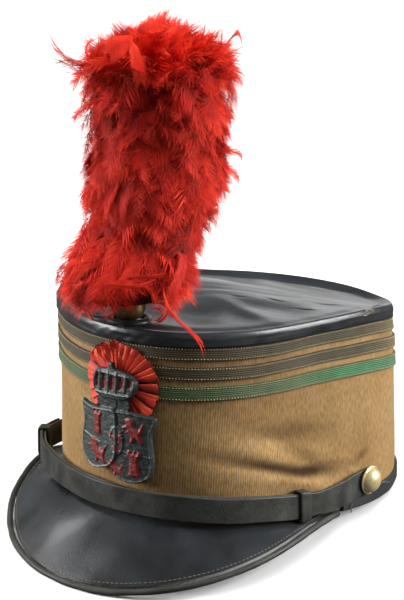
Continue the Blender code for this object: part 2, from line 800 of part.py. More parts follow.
def make_plume():
    """Tiers of drooping locks on one core, from a stem in the socket to a spiky top."""
    feather = finish("Scarlet hackle feather", "B3261E", 0.75)
    stem = STEM_DIAMETER / 2
    steps = 2 * LOCKS_ROUND
    frame = socket_frame()
    foot = SOCKET_WALL + GAP
    rings = [(frame @ Vector((0, 0, foot)), [stem] * steps, [0.0] * steps)]
    clear = SOCKET_HEIGHT + PLUME_CLEARANCE
    rings.append((frame @ Vector((0, 0, clear)), [stem] * steps, [0.0] * steps))
    over = SOCKET_DIAMETER / 2 + PLUME_CLEARANCE
    rings.append((frame @ Vector((0, 0, clear)), [over] * steps, [PLUME_FOOT_RISE] * steps))
    low = clear / PLUME_HEIGHT + 0.01
    for tier in range(LOCK_TIERS):
        start = low + (PLUME_TOP_SHARE - low) * tier / LOCK_TIERS
        end = low + (PLUME_TOP_SHARE - low) * (tier + 1) / LOCK_TIERS
        full = PLUME_RADIUS * between(PLUME_FORM, (start + end) / 2, 1)
        shift = tier % 2
        tips = []
        falls = []
        for k in range(steps):
            tip = (k + shift) % 2
            sway = 0.07 * math.sin(2.4 * tier + 1.7 * k) + 0.05 * math.sin(5.1 * tier + 0.9 * k)
            tips.append(full * (1.0 + sway if tip else 0.90 + sway / 2))
            falls.append(-LOCK_DROOP * (1.0 + 4 * sway) if tip else 0.0)
        rings.append((plume_axis(start), tips, falls))
        shoulder = full * (1.0 - LOCK_DEPTH * 0.4)
        rings.append((plume_axis(start + 0.6 * (end - start)), [shoulder] * steps, [0.0] * steps))
        neck = full * (1.0 - LOCK_DEPTH)
        rings.append((plume_axis(end - 0.04 * (end - start)), [neck] * steps, [0.0] * steps))
    crest = PLUME_RADIUS * between(PLUME_FORM, PLUME_TOP_SHARE, 1)
    spikes = [crest * (0.75 if k % 2 else 0.45) for k in range(steps)]
    lifts = [LOCK_DROOP * (0.9 + 0.5 * math.sin(2.1 * k)) if k % 2 else 0.0 for k in range(steps)]
    rings.append((plume_axis(PLUME_TOP_SHARE), spikes, lifts))
    points = []
    for middle, radii, lifts_here in rings:
        for k in range(steps):
            turn = 2 * math.pi * k / steps
            side = Vector((math.cos(turn), math.sin(turn), 0.0))
            points.append(middle + side * radii[k] + Vector((0, 0, lifts_here[k])))
    faces = []
    for r in range(len(rings) - 1):
        for k in range(steps):
            m = (k + 1) % steps
            faces.append((r * steps + k, r * steps + m, (r + 1) * steps + m, (r + 1) * steps + k))
    faces.append(tuple(reversed(range(steps))))
    last = (len(rings) - 1) * steps
    points.append(plume_axis(1.0))
    for k in range(steps):
        faces.append((last + k, last + (k + 1) % steps, len(points) - 1))
    mesh = bpy.data.meshes.new("plume")
    mesh.from_pydata([tuple(p) for p in points], [], faces)
    face_out(mesh)
    smooth(new_object("plume", mesh, feather), 25.0)


def front_point(x, height, offset):
    """A point in front of the wall at a distance x from the middle."""
    angle = math.asin(min(0.95, max(-0.95, x / outline_radius(0.0))))
    for _ in range(6):
        found = wall_point(angle, height)
        angle += (x - found.x) / outline_radius(angle)
    found = wall_point(angle, height)
    normal = plan_normal(angle, height)
    return Vector((x, found.y + normal[1] * offset, height))


def tape_front():
    return GAP + TAPE_THICKNESS


def make_cockade():
    ribbon = finish("Red grosgrain ribbon", "C23A30", 0.7)
    centre_z = crown_height(0.0) - COCKADE_DROP
    back = tape_front() + 2 * GAP
    steps = 2 * COCKADE_PLEATS
    rings = []
    for share in (0.0, 0.5, 1.0):
        radius = COCKADE_HUB + (COCKADE_RADIUS - COCKADE_HUB) * share
        ring = []
        for k in range(steps):
            turn = 2 * math.pi * k / steps
            fold = (COCKADE_PLEAT_DEPTH if k % 2 else 0.0) * (0.5 + 0.5 * share)
            x = COCKADE_X + radius * math.sin(turn)
            z = centre_z + radius * math.cos(turn)
            ring.append((x, z, fold))
        rings.append(ring)
    front = [[front_point(x, z, back + COCKADE_THICKNESS + fold) for x, z, fold in ring] for ring in rings]
    rear = [[front_point(x, z, back) for x, z, fold in ring] for ring in rings]
    points = [point for ring in front + rear for point in ring]
    faces = []
    for side in (0, 3):
        for r in range(2):
            for k in range(steps):
                m = (k + 1) % steps
                a = (side + r) * steps
                b = (side + r + 1) * steps
                faces.append((a + k, a + m, b + m, b + k))
        faces.append(tuple(side * steps + k for k in range(steps)))
    for k in range(steps):
        m = (k + 1) % steps
        faces.append((2 * steps + k, 2 * steps + m, 5 * steps + m, 5 * steps + k))
    mesh = bpy.data.meshes.new("cockade")
    mesh.from_pydata([tuple(p) for p in points], [], faces)
    face_out(mesh)
    new_object("cockade", mesh, ribbon)


# Outlines of the badge, as shares: x of its half width, height of its full height.
LEFT_SHIELD = (
    (-0.91, 0.60), (-0.64, 0.575), (-0.35, 0.585), (0.13, 0.62), (0.15, 0.40), (0.14, 0.24),
    (0.00, 0.11), (-0.38, 0.045), (-0.60, 0.03), (-0.82, 0.08), (-0.91, 0.19), (-0.88, 0.32),
    (-0.79, 0.44),
)
RIGHT_SHIELD = (
    (-0.02, 0.60), (0.45, 0.615), (0.70, 0.60), (0.99, 0.585), (0.97, 0.52), (0.87, 0.44),
    (0.90, 0.30), (0.93, 0.18), (0.86, 0.06), (0.62, 0.0), (0.30, -0.01), (0.05, 0.02),
    (-0.10, 0.09),
)
SHIELD_NECK = ((-0.42, 0.58), (0.44, 0.60), (0.40, 0.72), (-0.40, 0.70))
CROWN_FORM = (
    (-0.42, 0.68), (0.30, 0.695), (0.48, 0.73), (0.60, 0.80), (0.62, 0.87), (0.48, 0.925), (0.28, 0.945),
    (0.07, 0.95), (0.06, 1.00), (-0.06, 1.00), (-0.07, 0.94), (-0.30, 0.93), (-0.46, 0.89),
    (-0.52, 0.83), (-0.50, 0.76),
)
CROWN_SLOTS = (
    ((-0.42, 0.76), (-0.34, 0.755), (-0.31, 0.88), (-0.40, 0.86)),
    ((-0.25, 0.755), (-0.13, 0.755), (-0.11, 0.895), (-0.22, 0.895)),
    ((-0.04, 0.76), (0.08, 0.765), (0.11, 0.905), (-0.01, 0.90)),
    ((0.17, 0.775), (0.29, 0.785), (0.34, 0.90), (0.21, 0.905)),
    ((0.37, 0.80), (0.46, 0.815), (0.51, 0.875), (0.42, 0.89)),
)
OVAL = tuple(
    (0.12 + 0.18 * math.sin(k * math.pi / 5), 0.335 + 0.12 * math.cos(k * math.pi / 5)) for k in range(10)
)
TOWER_FORM = (
    (-0.5, 0.0), (0.5, 0.0), (0.36, 0.18), (0.34, 0.72), (0.5, 0.80), (0.5, 1.0), (0.2, 1.0),
    (0.2, 0.88), (0.1, 0.88), (0.1, 1.0), (-0.1, 1.0), (-0.1, 0.88), (-0.2, 0.88), (-0.2, 1.0),
    (-0.5, 1.0), (-0.5, 0.80), (-0.34, 0.72), (-0.36, 0.18),
)
BEAST_FORM = (
    (-0.22, 0.00), (0.02, 0.02), (0.08, 0.22), (0.30, 0.06), (0.50, 0.10), (0.34, 0.34),
    (0.40, 0.52), (0.52, 0.86), (0.34, 0.80), (0.26, 0.58), (0.08, 0.66), (0.04, 0.90),
    (-0.16, 1.00), (-0.40, 0.90), (-0.30, 0.72), (-0.52, 0.60), (-0.50, 0.50), (-0.22, 0.56),
    (-0.44, 0.34), (-0.18, 0.40), (-0.10, 0.26),
)
CHARGES = (
    # form, x, foot, width as shares of the half width, height as a share of the height
    (TOWER_FORM, -0.38, 0.35, 0.30, 0.22),
    (BEAST_FORM, -0.40, 0.09, 0.58, 0.23),
    (BEAST_FORM, 0.51, 0.34, 0.50, 0.23),
    (TOWER_FORM, 0.52, 0.06, 0.32, 0.23),
)


def badge_places(outline):
    """Places of an outline between the crown's ridge and the strap under the badge."""
    top = crown_height(0.0) - BADGE_DROP
    foot = strap_middle(0.0) + STRAP_WIDTH / 2 + BADGE_CLEARANCE
    return [(x * BADGE_WIDTH / 2, foot + share * (top - foot)) for x, share in outline]


def plate(name, outline, low, high):
    """A flat plate, standing in the XZ plane, from one depth to another towards the viewer."""
    made = bmesh.new()
    back = [made.verts.new((x, -low, z)) for x, z in outline]
    front = [made.verts.new((x, -high, z)) for x, z in outline]
    made.faces.new(back)
    made.faces.new(list(reversed(front)))
    for k in range(len(outline)):
        m = (k + 1) % len(outline)
        made.faces.new((back[m], back[k], front[k], front[m]))
    bmesh.ops.recalc_face_normals(made, faces=made.faces)
    if made.calc_volume(signed=True) < 0:
        bmesh.ops.reverse_faces(made, faces=made.faces)
    mesh = bpy.data.meshes.new(name)
    made.to_mesh(mesh)
    made.free()
    obj = bpy.data.objects.new(name, mesh)
    bpy.context.scene.collection.objects.link(obj)
    return obj


def combine(first, others, operation):
    """The first object's mesh after a Boolean with each of the others, which are then removed."""
    for other in others:
        cut = first.modifiers.new("Join", "BOOLEAN")
        cut.operation = operation
        cut.object = other
        cut.solver = "EXACT"
    mesh = made_mesh(first)
    for obj in [first, *others]:
        bpy.data.objects.remove(obj)
    return mesh


def make_badge():
    metal = finish("Dark pewter with red enamel", "4A4F4D", 0.5, 0.8)
    relief = BADGE_PLATE + BADGE_RELIEF
    base = plate("badge_base", badge_places(RIGHT_SHIELD), 0.0, BADGE_PLATE)
    joined = [
        plate("shield", badge_places(LEFT_SHIELD), -BADGE_STEP, relief - BADGE_LAP),
        plate("neck", badge_places(SHIELD_NECK), BADGE_STEP * 1.5, BADGE_PLATE - BADGE_STEP * 1.5),
        plate("oval", badge_places(OVAL), BADGE_STEP * 3, relief + BADGE_STEP * 2),
    ]
    crown = plate("crown", badge_places(CROWN_FORM), BADGE_STEP / 2, relief + BADGE_STEP)
    slots = [plate("slot", badge_places(slot), -BADGE_PLATE, relief + BADGE_PLATE) for slot in CROWN_SLOTS]
    crown_mesh = combine(crown, slots, "DIFFERENCE")
    crown = bpy.data.objects.new("crown", crown_mesh)
    bpy.context.scene.collection.objects.link(crown)
    joined.append(crown)
    for form, x, foot, width, height in CHARGES:
        outline = badge_places([(x + px * width, foot + pz * height) for px, pz in form])
        joined.append(plate("charge", outline, BADGE_STEP * 5, relief + (BADGE_LAP if x < 0 else 0.0)))
    for post in badge_posts():
        joined.append(post)
    mesh = combine(base, joined, "UNION")
    made = bmesh.new()
    made.from_mesh(mesh)
    steps = int(BADGE_WIDTH / BADGE_CUT_STEP)
    for k in range(1, steps):
        place = (-BADGE_WIDTH / 2 + k * BADGE_WIDTH / steps, 0, 0)
        parts = made.verts[:] + made.edges[:] + made.faces[:]
        bmesh.ops.bisect_plane(made, geom=parts, dist=1e-6, plane_co=place, plane_no=(1, 0, 0))
    bmesh.ops.triangulate(made, faces=made.faces)
    stand = badge_standoff()
    for vertex in made.verts:
        x = vertex.co.x + BADGE_X
        vertex.co = front_point(x, vertex.co.z, stand - vertex.co.y)
    made.to_mesh(mesh)
    made.free()
    new_object("badge", mesh, metal)


def badge_standoff():
    """The badge's back lies in front of the cockade's folds."""
    return tape_front() + 4 * GAP + COCKADE_THICKNESS + COCKADE_PLEAT_DEPTH


def badge_posts():
    """Two hidden posts behind the shields, reaching back to the twill."""
    posts = []
    for x, share in ((-0.55, 0.16), (0.5, 0.16)):
        centre = badge_places([(x, share)])[0]
        radius = BADGE_POST_DIAMETER / 2
        outline = []
        for k in range(8):
            turn = 2 * math.pi * k / 8
            outline.append((centre[0] + radius * math.cos(turn), centre[1] + radius * math.sin(turn)))
        posts.append(plate("post", outline, -badge_standoff() + GAP, BADGE_PLATE / 2))
    return posts


def main():
    for obj in list(bpy.data.objects):
        bpy.data.objects.remove(obj)
    make_body()
    make_crown()
    make_tapes()
    make_back_band()
    make_visor()
    make_strap()
    make_keepers()
    make_buttons()
    make_socket()
    make_plume()
    make_cockade()
    make_badge()


if __name__ == "__main__":
    main()
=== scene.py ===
"""Looks of a military dress shako: twill body, patent leather, braids, plume, cockade and badge.

The hat faces -Y, the wearer's left is +X and units are metres. Angles run round the hat from
its front towards the wearer's left.
"""

import json
import math

import bpy
import numpy as np
from mathutils import Matrix, Vector

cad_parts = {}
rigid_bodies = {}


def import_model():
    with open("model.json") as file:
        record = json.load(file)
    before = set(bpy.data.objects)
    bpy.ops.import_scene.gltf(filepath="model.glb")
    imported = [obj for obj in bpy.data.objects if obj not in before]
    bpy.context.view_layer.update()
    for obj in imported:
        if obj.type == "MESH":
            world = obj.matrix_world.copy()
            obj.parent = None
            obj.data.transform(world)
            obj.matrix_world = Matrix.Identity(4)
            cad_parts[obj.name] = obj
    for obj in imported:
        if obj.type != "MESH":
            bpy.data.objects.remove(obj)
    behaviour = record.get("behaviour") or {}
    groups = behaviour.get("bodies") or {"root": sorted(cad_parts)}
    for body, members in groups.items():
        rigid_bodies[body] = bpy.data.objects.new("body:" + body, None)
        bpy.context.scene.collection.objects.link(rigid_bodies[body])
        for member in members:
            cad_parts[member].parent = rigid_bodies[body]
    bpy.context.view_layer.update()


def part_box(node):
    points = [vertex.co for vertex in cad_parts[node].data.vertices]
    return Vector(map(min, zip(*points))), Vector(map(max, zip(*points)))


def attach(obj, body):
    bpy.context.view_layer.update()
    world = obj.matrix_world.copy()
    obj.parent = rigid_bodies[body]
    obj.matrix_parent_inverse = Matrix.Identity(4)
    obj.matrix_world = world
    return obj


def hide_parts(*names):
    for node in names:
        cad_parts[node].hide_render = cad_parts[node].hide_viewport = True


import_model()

bl_info = {
    "name": "Dress shako",
    "version": (1, 0, 0),
    "blender": (4, 5, 0),
    "location": "View3D > Sidebar > Shako",
    "description": "Builds the dressed shako round its packed frame",
    "category": "Add Mesh",
}

MM = 0.001

# Form of the hat, as in its solids
MEAN_RADIUS = 93.0 * MM
OUTLINE_LOBES = (
    # lobe, even share, odd share
    (1, 0.037, 0.000),
    (2, 0.082, 0.026),
    (3, 0.042, 0.010),
    (4, 0.002, 0.030),
)
CROWN_NARROWING = 0.036
CROWN_HEIGHT = 110.0 * MM
CROWN_SLOPE = 0.136
CROWN_CANT = 0.020
CROWN_BACK_DROP = 9.0 * MM
BACK_DROP_ANGLES = (86.0, 150.0)
BASE_FRONT_RISE = 23.7 * MM
BASE_RISE_POWER = 1.75
BASE_FLAT_SHARE = 0.75
WALL = 2.6 * MM
LEATHER = 1.5 * MM
GAP = 0.3 * MM
CROWN_BAND_DEPTH = 7.0 * MM
WALL_TOP_DROP = 4.4 * MM
CROWN_SAG = 3.2 * MM
CROWN_ROLL_INSET = 0.6 * MM
TAPE_WIDTH = 7.0 * MM
GREEN_TAPE_WIDTH = 7.6 * MM
TAPE_SPACING = 3.0 * MM
TAPE_THICKNESS = 0.8 * MM
BACK_BAND_WIDTH = 8.0 * MM
BACK_BAND_THICKNESS = 1.2 * MM
BACK_BAND_ENDS = (76.0, 273.0)
VISOR_REACH = 46.5 * MM
VISOR_SPAN = 78.0
VISOR_TURN = -5.0
VISOR_FORM = (
    # share of the span, share of the reach
    (-1.0, 0.085),
    (-0.94, 0.230),
    (-0.875, 0.350),
    (-0.75, 0.446),
    (-0.625, 0.535),
    (-0.5, 0.653),
    (-0.25, 0.858),
    (-0.125, 0.944),
    (0.0, 1.000),
    (0.125, 0.980),
    (0.25, 0.882),
    (0.375, 0.730),
    (0.5, 0.552),
    (0.625, 0.386),
    (0.75, 0.256),
    (0.875, 0.164),
    (1.0, 0.080),
)
VISOR_SLOPE = 32.0
VISOR_SIDE_SLOPE = -48.0
VISOR_THICKNESS = 2.0 * MM
VISOR_ARCH = 0.05
VISOR_SEAM_GAP = 1.3 * MM
VISOR_SEAM_RISE = 3.6 * MM
VISOR_SHEET_END = 0.95
VISOR_LEAST_RUN = 1.3 * MM
BINDING_DIAMETER = 3.2 * MM
BINDING_REST = 1.4 * MM
BINDING_SEAT = 4.1 * MM
STRAP_WIDTH = 13.2 * MM
STRAP_THICKNESS = 1.5 * MM
STRAP_CLEARANCE = 2.6 * MM
STRAP_STANDOFF = 7.0 * MM
STRAP_END_ANGLE = 95.0
STRAP_END_ROUNDING = 5.0
STRAP_SETTLE_ANGLES = (76.0, 86.0)
STRAP_RUN = (
    # angle in degrees, lift of the middle as a share of the width, standoff share
    (95.0, 1.10, 0.00),
    (89.0, 1.06, 0.00),
    (83.0, 0.97, 0.00),
    (76.0, 0.84, 0.00),
    (66.0, 0.79, 0.00),
    (52.0, 0.82, 0.00),
    (38.0, 0.91, 0.00),
    (24.0, 0.95, 0.00),
    (0.0, 0.91, 0.00),
    (-20.0, 0.89, 0.03),
    (-36.0, 0.91, 0.30),
    (-50.0, 0.98, 0.80),
    (-62.0, 1.07, 1.00),
    (-72.0, 1.12, 0.45),
    (-81.0, 1.10, 0.00),
    (-89.0, 1.06, 0.00),
    (-95.0, 1.10, 0.00),
)
OVERLAP_NEAR_END = 70.0
OVERLAP_FAR_END = -72.0
OVERLAP_POINT = 9.0
KEEPER_WIDTH = 6.5 * MM
KEEPER_THICKNESS = 1.1 * MM
KEEPER_CLEARANCE = 0.6 * MM
KEEPER_ANGLES = {"strap_keeper_left": 54.0, "strap_keeper_right": -61.0}
KEEPER_STEPS = 40
KEEPER_SQUARENESS = 0.28  # 1 would be round, 0 square
BUTTON_DIAMETER = 15.4 * MM
BUTTON_DOME = 4.6 * MM
BUTTON_FLANGE = 0.9 * MM
BUTTON_ANGLE = 89.0
BUTTON_LIFT = 14.6 * MM
SOCKET_X = 0.4 * MM
SOCKET_INSET = 12.5 * MM
SOCKET_DIAMETER = 17.0 * MM
SOCKET_HEIGHT = 15.0 * MM
SOCKET_WALL = 0.9 * MM
SOCKET_SLOPE_X = 0.02
SOCKET_SLOPE_Y = 0.05
COLLAR_WIDTH = 4.5 * MM
COLLAR_HEIGHT = 2.2 * MM
COLLAR_CLEARANCE = 0.7 * MM
PLUME_HEIGHT = 141.0 * MM
PLUME_RADIUS = 36.0 * MM
PLUME_LEAN_X = 10.0 * MM
PLUME_LEAN_Y = 30.0 * MM
STEM_DIAMETER = 7.0 * MM
PLUME_FORM = (
    # height share, radius share, lean share
    (0.00, 0.70, 0.00),
    (0.08, 0.98, -0.08),
    (0.18, 1.03, 0.02),
    (0.24, 0.92, 0.32),
    (0.41, 1.06, 0.60),
    (0.57, 1.03, 0.65),
    (0.73, 1.13, 0.75),
    (0.86, 1.11, 0.80),
    (0.93, 1.10, 0.78),
    (1.00, 0.50, 0.77),
)
COCKADE_RADIUS = 21.5 * MM
COCKADE_HUB = 3.0 * MM
COCKADE_X = 4.0 * MM
COCKADE_DROP = 28.5 * MM
COCKADE_THICKNESS = 0.9 * MM
COCKADE_PLEAT_DEPTH = 1.6 * MM
BADGE_WIDTH = 50.0 * MM
BADGE_CLEARANCE = 4.0 * MM
BADGE_X = 1.7 * MM
BADGE_DROP = 17.0 * MM
BADGE_PLATE = 1.6 * MM
BADGE_RELIEF = 0.9 * MM

# Dents of the twill wall, as in its solid: shares of the crown height, the depth of the wall
WALL_DENTS = (
    # name, angle, height, length, width, tilt in degrees, depth
    ("diagonal_crease", 54.0, 0.440, 0.27, 0.045, -36.0, 1.00),
    ("fold_below_crease", 58.0, 0.310, 0.26, 0.060, -36.0, -0.75),
    ("side_hollow", 50.0, 0.630, 0.24, 0.130, -10.0, 1.10),
    ("flattened_side", 66.0, 0.800, 0.35, 0.450, 0.0, 0.95),
    ("back_swell", 118.0, 0.600, 0.25, 0.500, 0.0, -0.55),
    ("button_pucker", 80.0, 0.260, 0.06, 0.050, 0.0, 0.40),
    ("far_hollow", -75.0, 0.550, 0.28, 0.200, 12.0, 0.55),
    ("back_hollow", 172.0, 0.500, 0.30, 0.160, -8.0, 0.50),
)
# Finer creases that only the cloth's face has, in the same shares
CLOTH_CREASES = (
    # name, angle, height, length, width, tilt in degrees, depth
    ("sharp_line_of_crease", 46.0, 0.415, 0.26, 0.030, -22.0, 0.66),
    ("crease_tail", 62.0, 0.325, 0.16, 0.028, -13.0, 0.55),
    ("lip_over_crease", 50.0, 0.470, 0.26, 0.040, -22.0, -0.30),
    ("lip_under_crease", 50.0, 0.335, 0.28, 0.045, -20.0, -0.40),
    ("upper_fold", 54.0, 0.550, 0.26, 0.050, -12.0, 0.34),
    ("bulge_by_button", 75.0, 0.340, 0.10, 0.035, -16.0, -0.45),
    ("pull_above_button", 88.0, 0.290, 0.05, 0.022, 18.0, 0.34),
    ("second_pull", 83.0, 0.235, 0.07, 0.018, -30.0, -0.22),
    ("front_ease", 26.0, 0.330, 0.22, 0.060, -22.0, 0.16),
    ("far_crease", -70.0, 0.430, 0.20, 0.022, 34.0, 0.34),
    ("back_crease", 150.0, 0.350, 0.24, 0.024, -20.0, 0.30),
    ("back_ease", 196.0, 0.420, 0.22, 0.040, 24.0, 0.22),
)
# Swells and hollows of the crown's top: place and radius as shares of the mean radius,
# the height as a share of the crown's sag
CROWN_WAVES = (
    # name, x, y, radius, height
    ("middle_swell", 0.15, -0.10, 0.38, 0.80),
    ("back_fold", 0.25, 0.55, 0.22, -0.45),
    ("left_fold", 0.55, -0.15, 0.20, -0.40),
    ("far_swell", -0.35, 0.30, 0.28, 0.45),
)

# The camera stands where the photograph was taken, about 1.2 m off the hat's front left
CAMERA_PLACE = (552.7 * MM, -938.8 * MM, 491.1 * MM)
CAMERA_AZIMUTH = 31.04
CAMERA_ELEVATION = 19.56
CAMERA_ROLL = -1.42
CAMERA_LENS_MM = 131.5


def colour(hex_colour):
    """The linear colour of an sRGB hex value."""
    values = [int(hex_colour[i : i + 2], 16) / 255.0 for i in (0, 2, 4)]
    linear = [v / 12.92 if v <= 0.04045 else ((v + 0.055) / 1.055) ** 2.4 for v in values]
    return (*linear, 1.0)


def smooth_step(value, low, high):
    share = np.clip((value - low) / (high - low), 0.0, 1.0)
    return share * share * (3.0 - 2.0 * share)


def between(table, places, column):
    """A column of a table read at places in its first column, on a smooth curve through its rows."""
    rows = np.array(sorted((row[0], row[column]) for row in table))
    x, y = rows[:, 0], rows[:, 1]
    steps = np.empty_like(y)
    steps[1:-1] = (y[2:] - y[:-2]) / (x[2:] - x[:-2])
    steps[0] = (y[1] - y[0]) / (x[1] - x[0])
    steps[-1] = (y[-1] - y[-2]) / (x[-1] - x[-2])
    places = np.clip(np.asarray(places, float), x[0], x[-1])
    k = np.clip(np.searchsorted(x, places, side="right") - 1, 0, len(x) - 2)
    width = x[k + 1] - x[k]
    t = (places - x[k]) / width
    value = y[k] * (2 * t**3 - 3 * t**2 + 1) + y[k + 1] * (3 * t**2 - 2 * t**3)
    return value + width * (steps[k] * (t**3 - 2 * t**2 + t) + steps[k + 1] * (t**3 - t**2))


def signed_degrees(angle):
    return (np.degrees(angle) + 180.0) % 360.0 - 180.0


def outline_radius(angle):
    share = 1.0
    skew = (1.0 + np.cos(angle)) / 2
    for lobe, even, odd in OUTLINE_LOBES:
        share = share + even * np.cos(lobe * angle) + skew * odd * np.sin(lobe * angle)
    return MEAN_RADIUS * share


def plan(angle, height, extra=0.0):
    """Plan x and y of the wall, moved out along its radius."""
    radius = outline_radius(angle) * (1.0 - CROWN_NARROWING * height / CROWN_HEIGHT) + extra
    return radius * np.sin(angle), -radius * np.cos(angle)


def plan_normal(angle, height):
    step = 0.01
    x1, y1 = plan(angle + step, height)
    x0, y0 = plan(angle - step, height)
    nx, ny = y1 - y0, -(x1 - x0)
    length = np.hypot(nx, ny)
    return nx / length, ny / length


def base_height(angle):
    y = plan(angle, 0.0)[1]
    flat_y = BASE_FLAT_SHARE * outline_radius(math.pi)
    share = np.maximum(0.0, (flat_y - y) / (flat_y + outline_radius(0.0)))
    return BASE_FRONT_RISE * share**BASE_RISE_POWER


def crown_height(angle):
    x, y = plan(angle, CROWN_HEIGHT)
    drop = CROWN_BACK_DROP * smooth_step(np.abs(signed_degrees(angle)), *BACK_DROP_ANGLES)
    return CROWN_HEIGHT - CROWN_SLOPE * y + CROWN_CANT * x - drop


def dents(angle, height, table=WALL_DENTS):
    depth = 0.0
    for _, middle, level, length, width, tilt, share in table:
        along = np.radians(signed_degrees(angle - math.radians(middle))) * MEAN_RADIUS
        across = height - level * CROWN_HEIGHT
        lean = math.radians(tilt)
        u = (along * math.cos(lean) + across * math.sin(lean)) / (length * CROWN_HEIGHT)
        v = (across * math.cos(lean) - along * math.sin(lean)) / (width * CROWN_HEIGHT)
        depth = depth + share * WALL * np.exp(-u * u - v * v)
    top = crown_height(angle)
    edge = smooth_step(height, 0.0, 0.14 * CROWN_HEIGHT)
    return depth * edge * smooth_step(top - height, 0.0, 0.2 * CROWN_HEIGHT)


def wall(angle, height, offset=0.0):
    """Points of the wall's outer face, moved out by the offset, as an array ending in x, y, z."""
    angle, height, offset = np.broadcast_arrays(np.asarray(angle, float), height, offset)
    x, y = plan(angle, height, -dents(angle, height))
    nx, ny = plan_normal(angle, height)
    return np.stack([x + nx * offset, y + ny * offset, height], -1)


def turns(count, start=0.0, end=360.0):
    """Angles in radians. A whole turn leaves out its last angle."""
    whole = abs(end - start) >= 360.0
    return np.radians(np.linspace(start, end, count, endpoint=not whole))


def run_length(points):
    """Length along a line of points, from its first."""
    steps = np.linalg.norm(np.diff(points, axis=0), axis=1)
    return np.concatenate([[0.0], np.cumsum(steps)])


def unit(vectors):
    """The vectors of an array at length one."""
    return vectors / np.linalg.norm(vectors, axis=-1, keepdims=True)


def smooth_path(knots, count):
    """Points on a smooth curve through knots, at even shares of the way."""
    rows = [(share, *knot) for share, knot in zip(np.linspace(0, 1, len(knots)), knots)]
    return np.stack([between(rows, np.linspace(0, 1, count), column) for column in (1, 2, 3)], -1)


def ripple(*axes, seed, waves=8, low=20.0, high=160.0):
    """Smooth unevenness of about -1 to 1 from a few seeded waves over the given coordinates in metres."""
    random = np.random.default_rng(seed)
    total = 0.0
    for _ in range(waves):
        turn = random.normal(size=len(axes))
        turn /= np.linalg.norm(turn)
        pitch = random.uniform(low, high)
        phase = random.uniform(0, 2 * math.pi)
        total = total + np.sin(sum(t * a for t, a in zip(turn, axes)) * pitch * 2 * math.pi + phase)
    return total / math.sqrt(waves)


# Meshes and nodes


def add_node(tree, kind, inputs=None, stops=(), **settings):
    """A node with its settings, and its inputs as values or as the outputs that they come from.

    A colour ramp takes its stops as places and sRGB hex values."""
    node = tree.nodes.new(kind)
    for name, value in settings.items():
        setattr(node, name, value)
    while stops and len(node.color_ramp.elements) < len(stops):
        node.color_ramp.elements.new(1.0)
    for element, (place, shade) in zip(node.color_ramp.elements if stops else (), stops):
        element.position = place
        element.color = colour(shade)
    for name, value in (inputs or {}).items():
        socket = node.inputs[name]
        if isinstance(value, bpy.types.NodeSocket):
            tree.links.new(value, socket)
        else:
            socket.default_value = value
    return node


def grid_faces(rows, columns, rows_closed, columns_closed):
    """Quads over a grid of points counted row by row."""
    r = np.arange(rows if rows_closed else rows - 1)
    c = np.arange(columns if columns_closed else columns - 1)
    r, c = (a.ravel() for a in np.meshgrid(r, c, indexing="ij"))
    r1, c1 = (r + 1) % rows, (c + 1) % columns
    return np.stack([r * columns + c, r * columns + c1, r1 * columns + c1, r1 * columns + c], 1)


def new_piece(name, points, faces, finish, node=None, slot=None, uv=None, marks=None, sharp=None):
    """A mesh object from points and faces, with an optional UV map, marks and the node it stands for."""
    mesh = bpy.data.meshes.new(name)
    mesh.from_pydata(np.asarray(points).reshape(-1, 3).tolist(), [], [tuple(face) for face in faces])
    if uv is not None:
        write_uv(mesh, np.asarray(uv, float).reshape(-1, 2))
    for label, values in (marks or {}).items():
        mark(mesh, label, values)
    return place_piece(name, mesh, finish, node, sharp)


def place_piece(name, mesh, finish, node=None, sharp=None):
    """Shows a mesh in its finish, as a piece that rides the hat and may stand for a node."""
    mesh.materials.clear()
    mesh.materials.append(finish)
    face_outwards(mesh)
    mesh.shade_smooth()
    if sharp is not None:
        mesh.set_sharp_from_angle(angle=math.radians(sharp))
    obj = bpy.data.objects.new(name, mesh)
    bpy.context.scene.collection.objects.link(obj)
    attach(obj, "root")
    if node:
        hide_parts(*([node] if isinstance(node, str) else node))
    return obj


def face_outwards(mesh):
    """Turns a closed mesh whose volume comes out negative."""
    count = len(mesh.vertices)
    points = np.zeros(count * 3)
    mesh.vertices.foreach_get("co", points)
    points = points.reshape(-1, 3)
    mesh.calc_loop_triangles()
    corners = np.zeros(len(mesh.loop_triangles) * 3, np.int32)
    mesh.loop_triangles.foreach_get("vertices", corners)
    a, b, c = (points[corners.reshape(-1, 3)[:, k]] for k in range(3))
    if (a * np.cross(b, c)).sum() < 0:
        mesh.flip_normals()


def write_uv(mesh, places):
    """A UV map in metres. A face across the seam of a closed run keeps its corners together."""
    layer = mesh.uv_layers.new(name="metres")
    corner = np.zeros(len(mesh.loops), np.int32)
    mesh.loops.foreach_get("vertex_index", corner)
    values = places[corner]
    starts = np.zeros(len(mesh.polygons), np.int32)
    mesh.polygons.foreach_get("loop_start", starts)
    sizes = np.diff(np.append(starts, len(corner)))
    highest = np.repeat(np.maximum.reduceat(values[:, 0], starts), sizes)
    run = np.unique(places[:, 0].round(6))
    total = run[-1] + run[1] - run[0]
    values[:, 0] += np.where(highest - values[:, 0] > total / 2, total, 0.0)
    layer.data.foreach_set("uv", values.astype(np.float32).ravel())


def mark(mesh, label, values, kind="FLOAT"):
    """Writes a value for every point of a mesh."""
    layer = mesh.attributes.new(label, kind, "POINT")
    key = "vector" if kind == "FLOAT_VECTOR" else "value"
    layer.data.foreach_set(key, np.asarray(values, np.int32 if kind == "INT" else np.float32).ravel())


def swept(name, sections, finish, closed=False, **details):
    """Closed sections of points joined one to the next, joined round or with end caps."""
    count, corners = sections.shape[:2]
    faces = grid_faces(count, corners, closed, True).tolist()
    if not closed:
        faces.append(list(range(corners)))
        faces.append(list(range((count - 1) * corners, count * corners))[::-1])
    return new_piece(name, sections, faces, finish, **details)


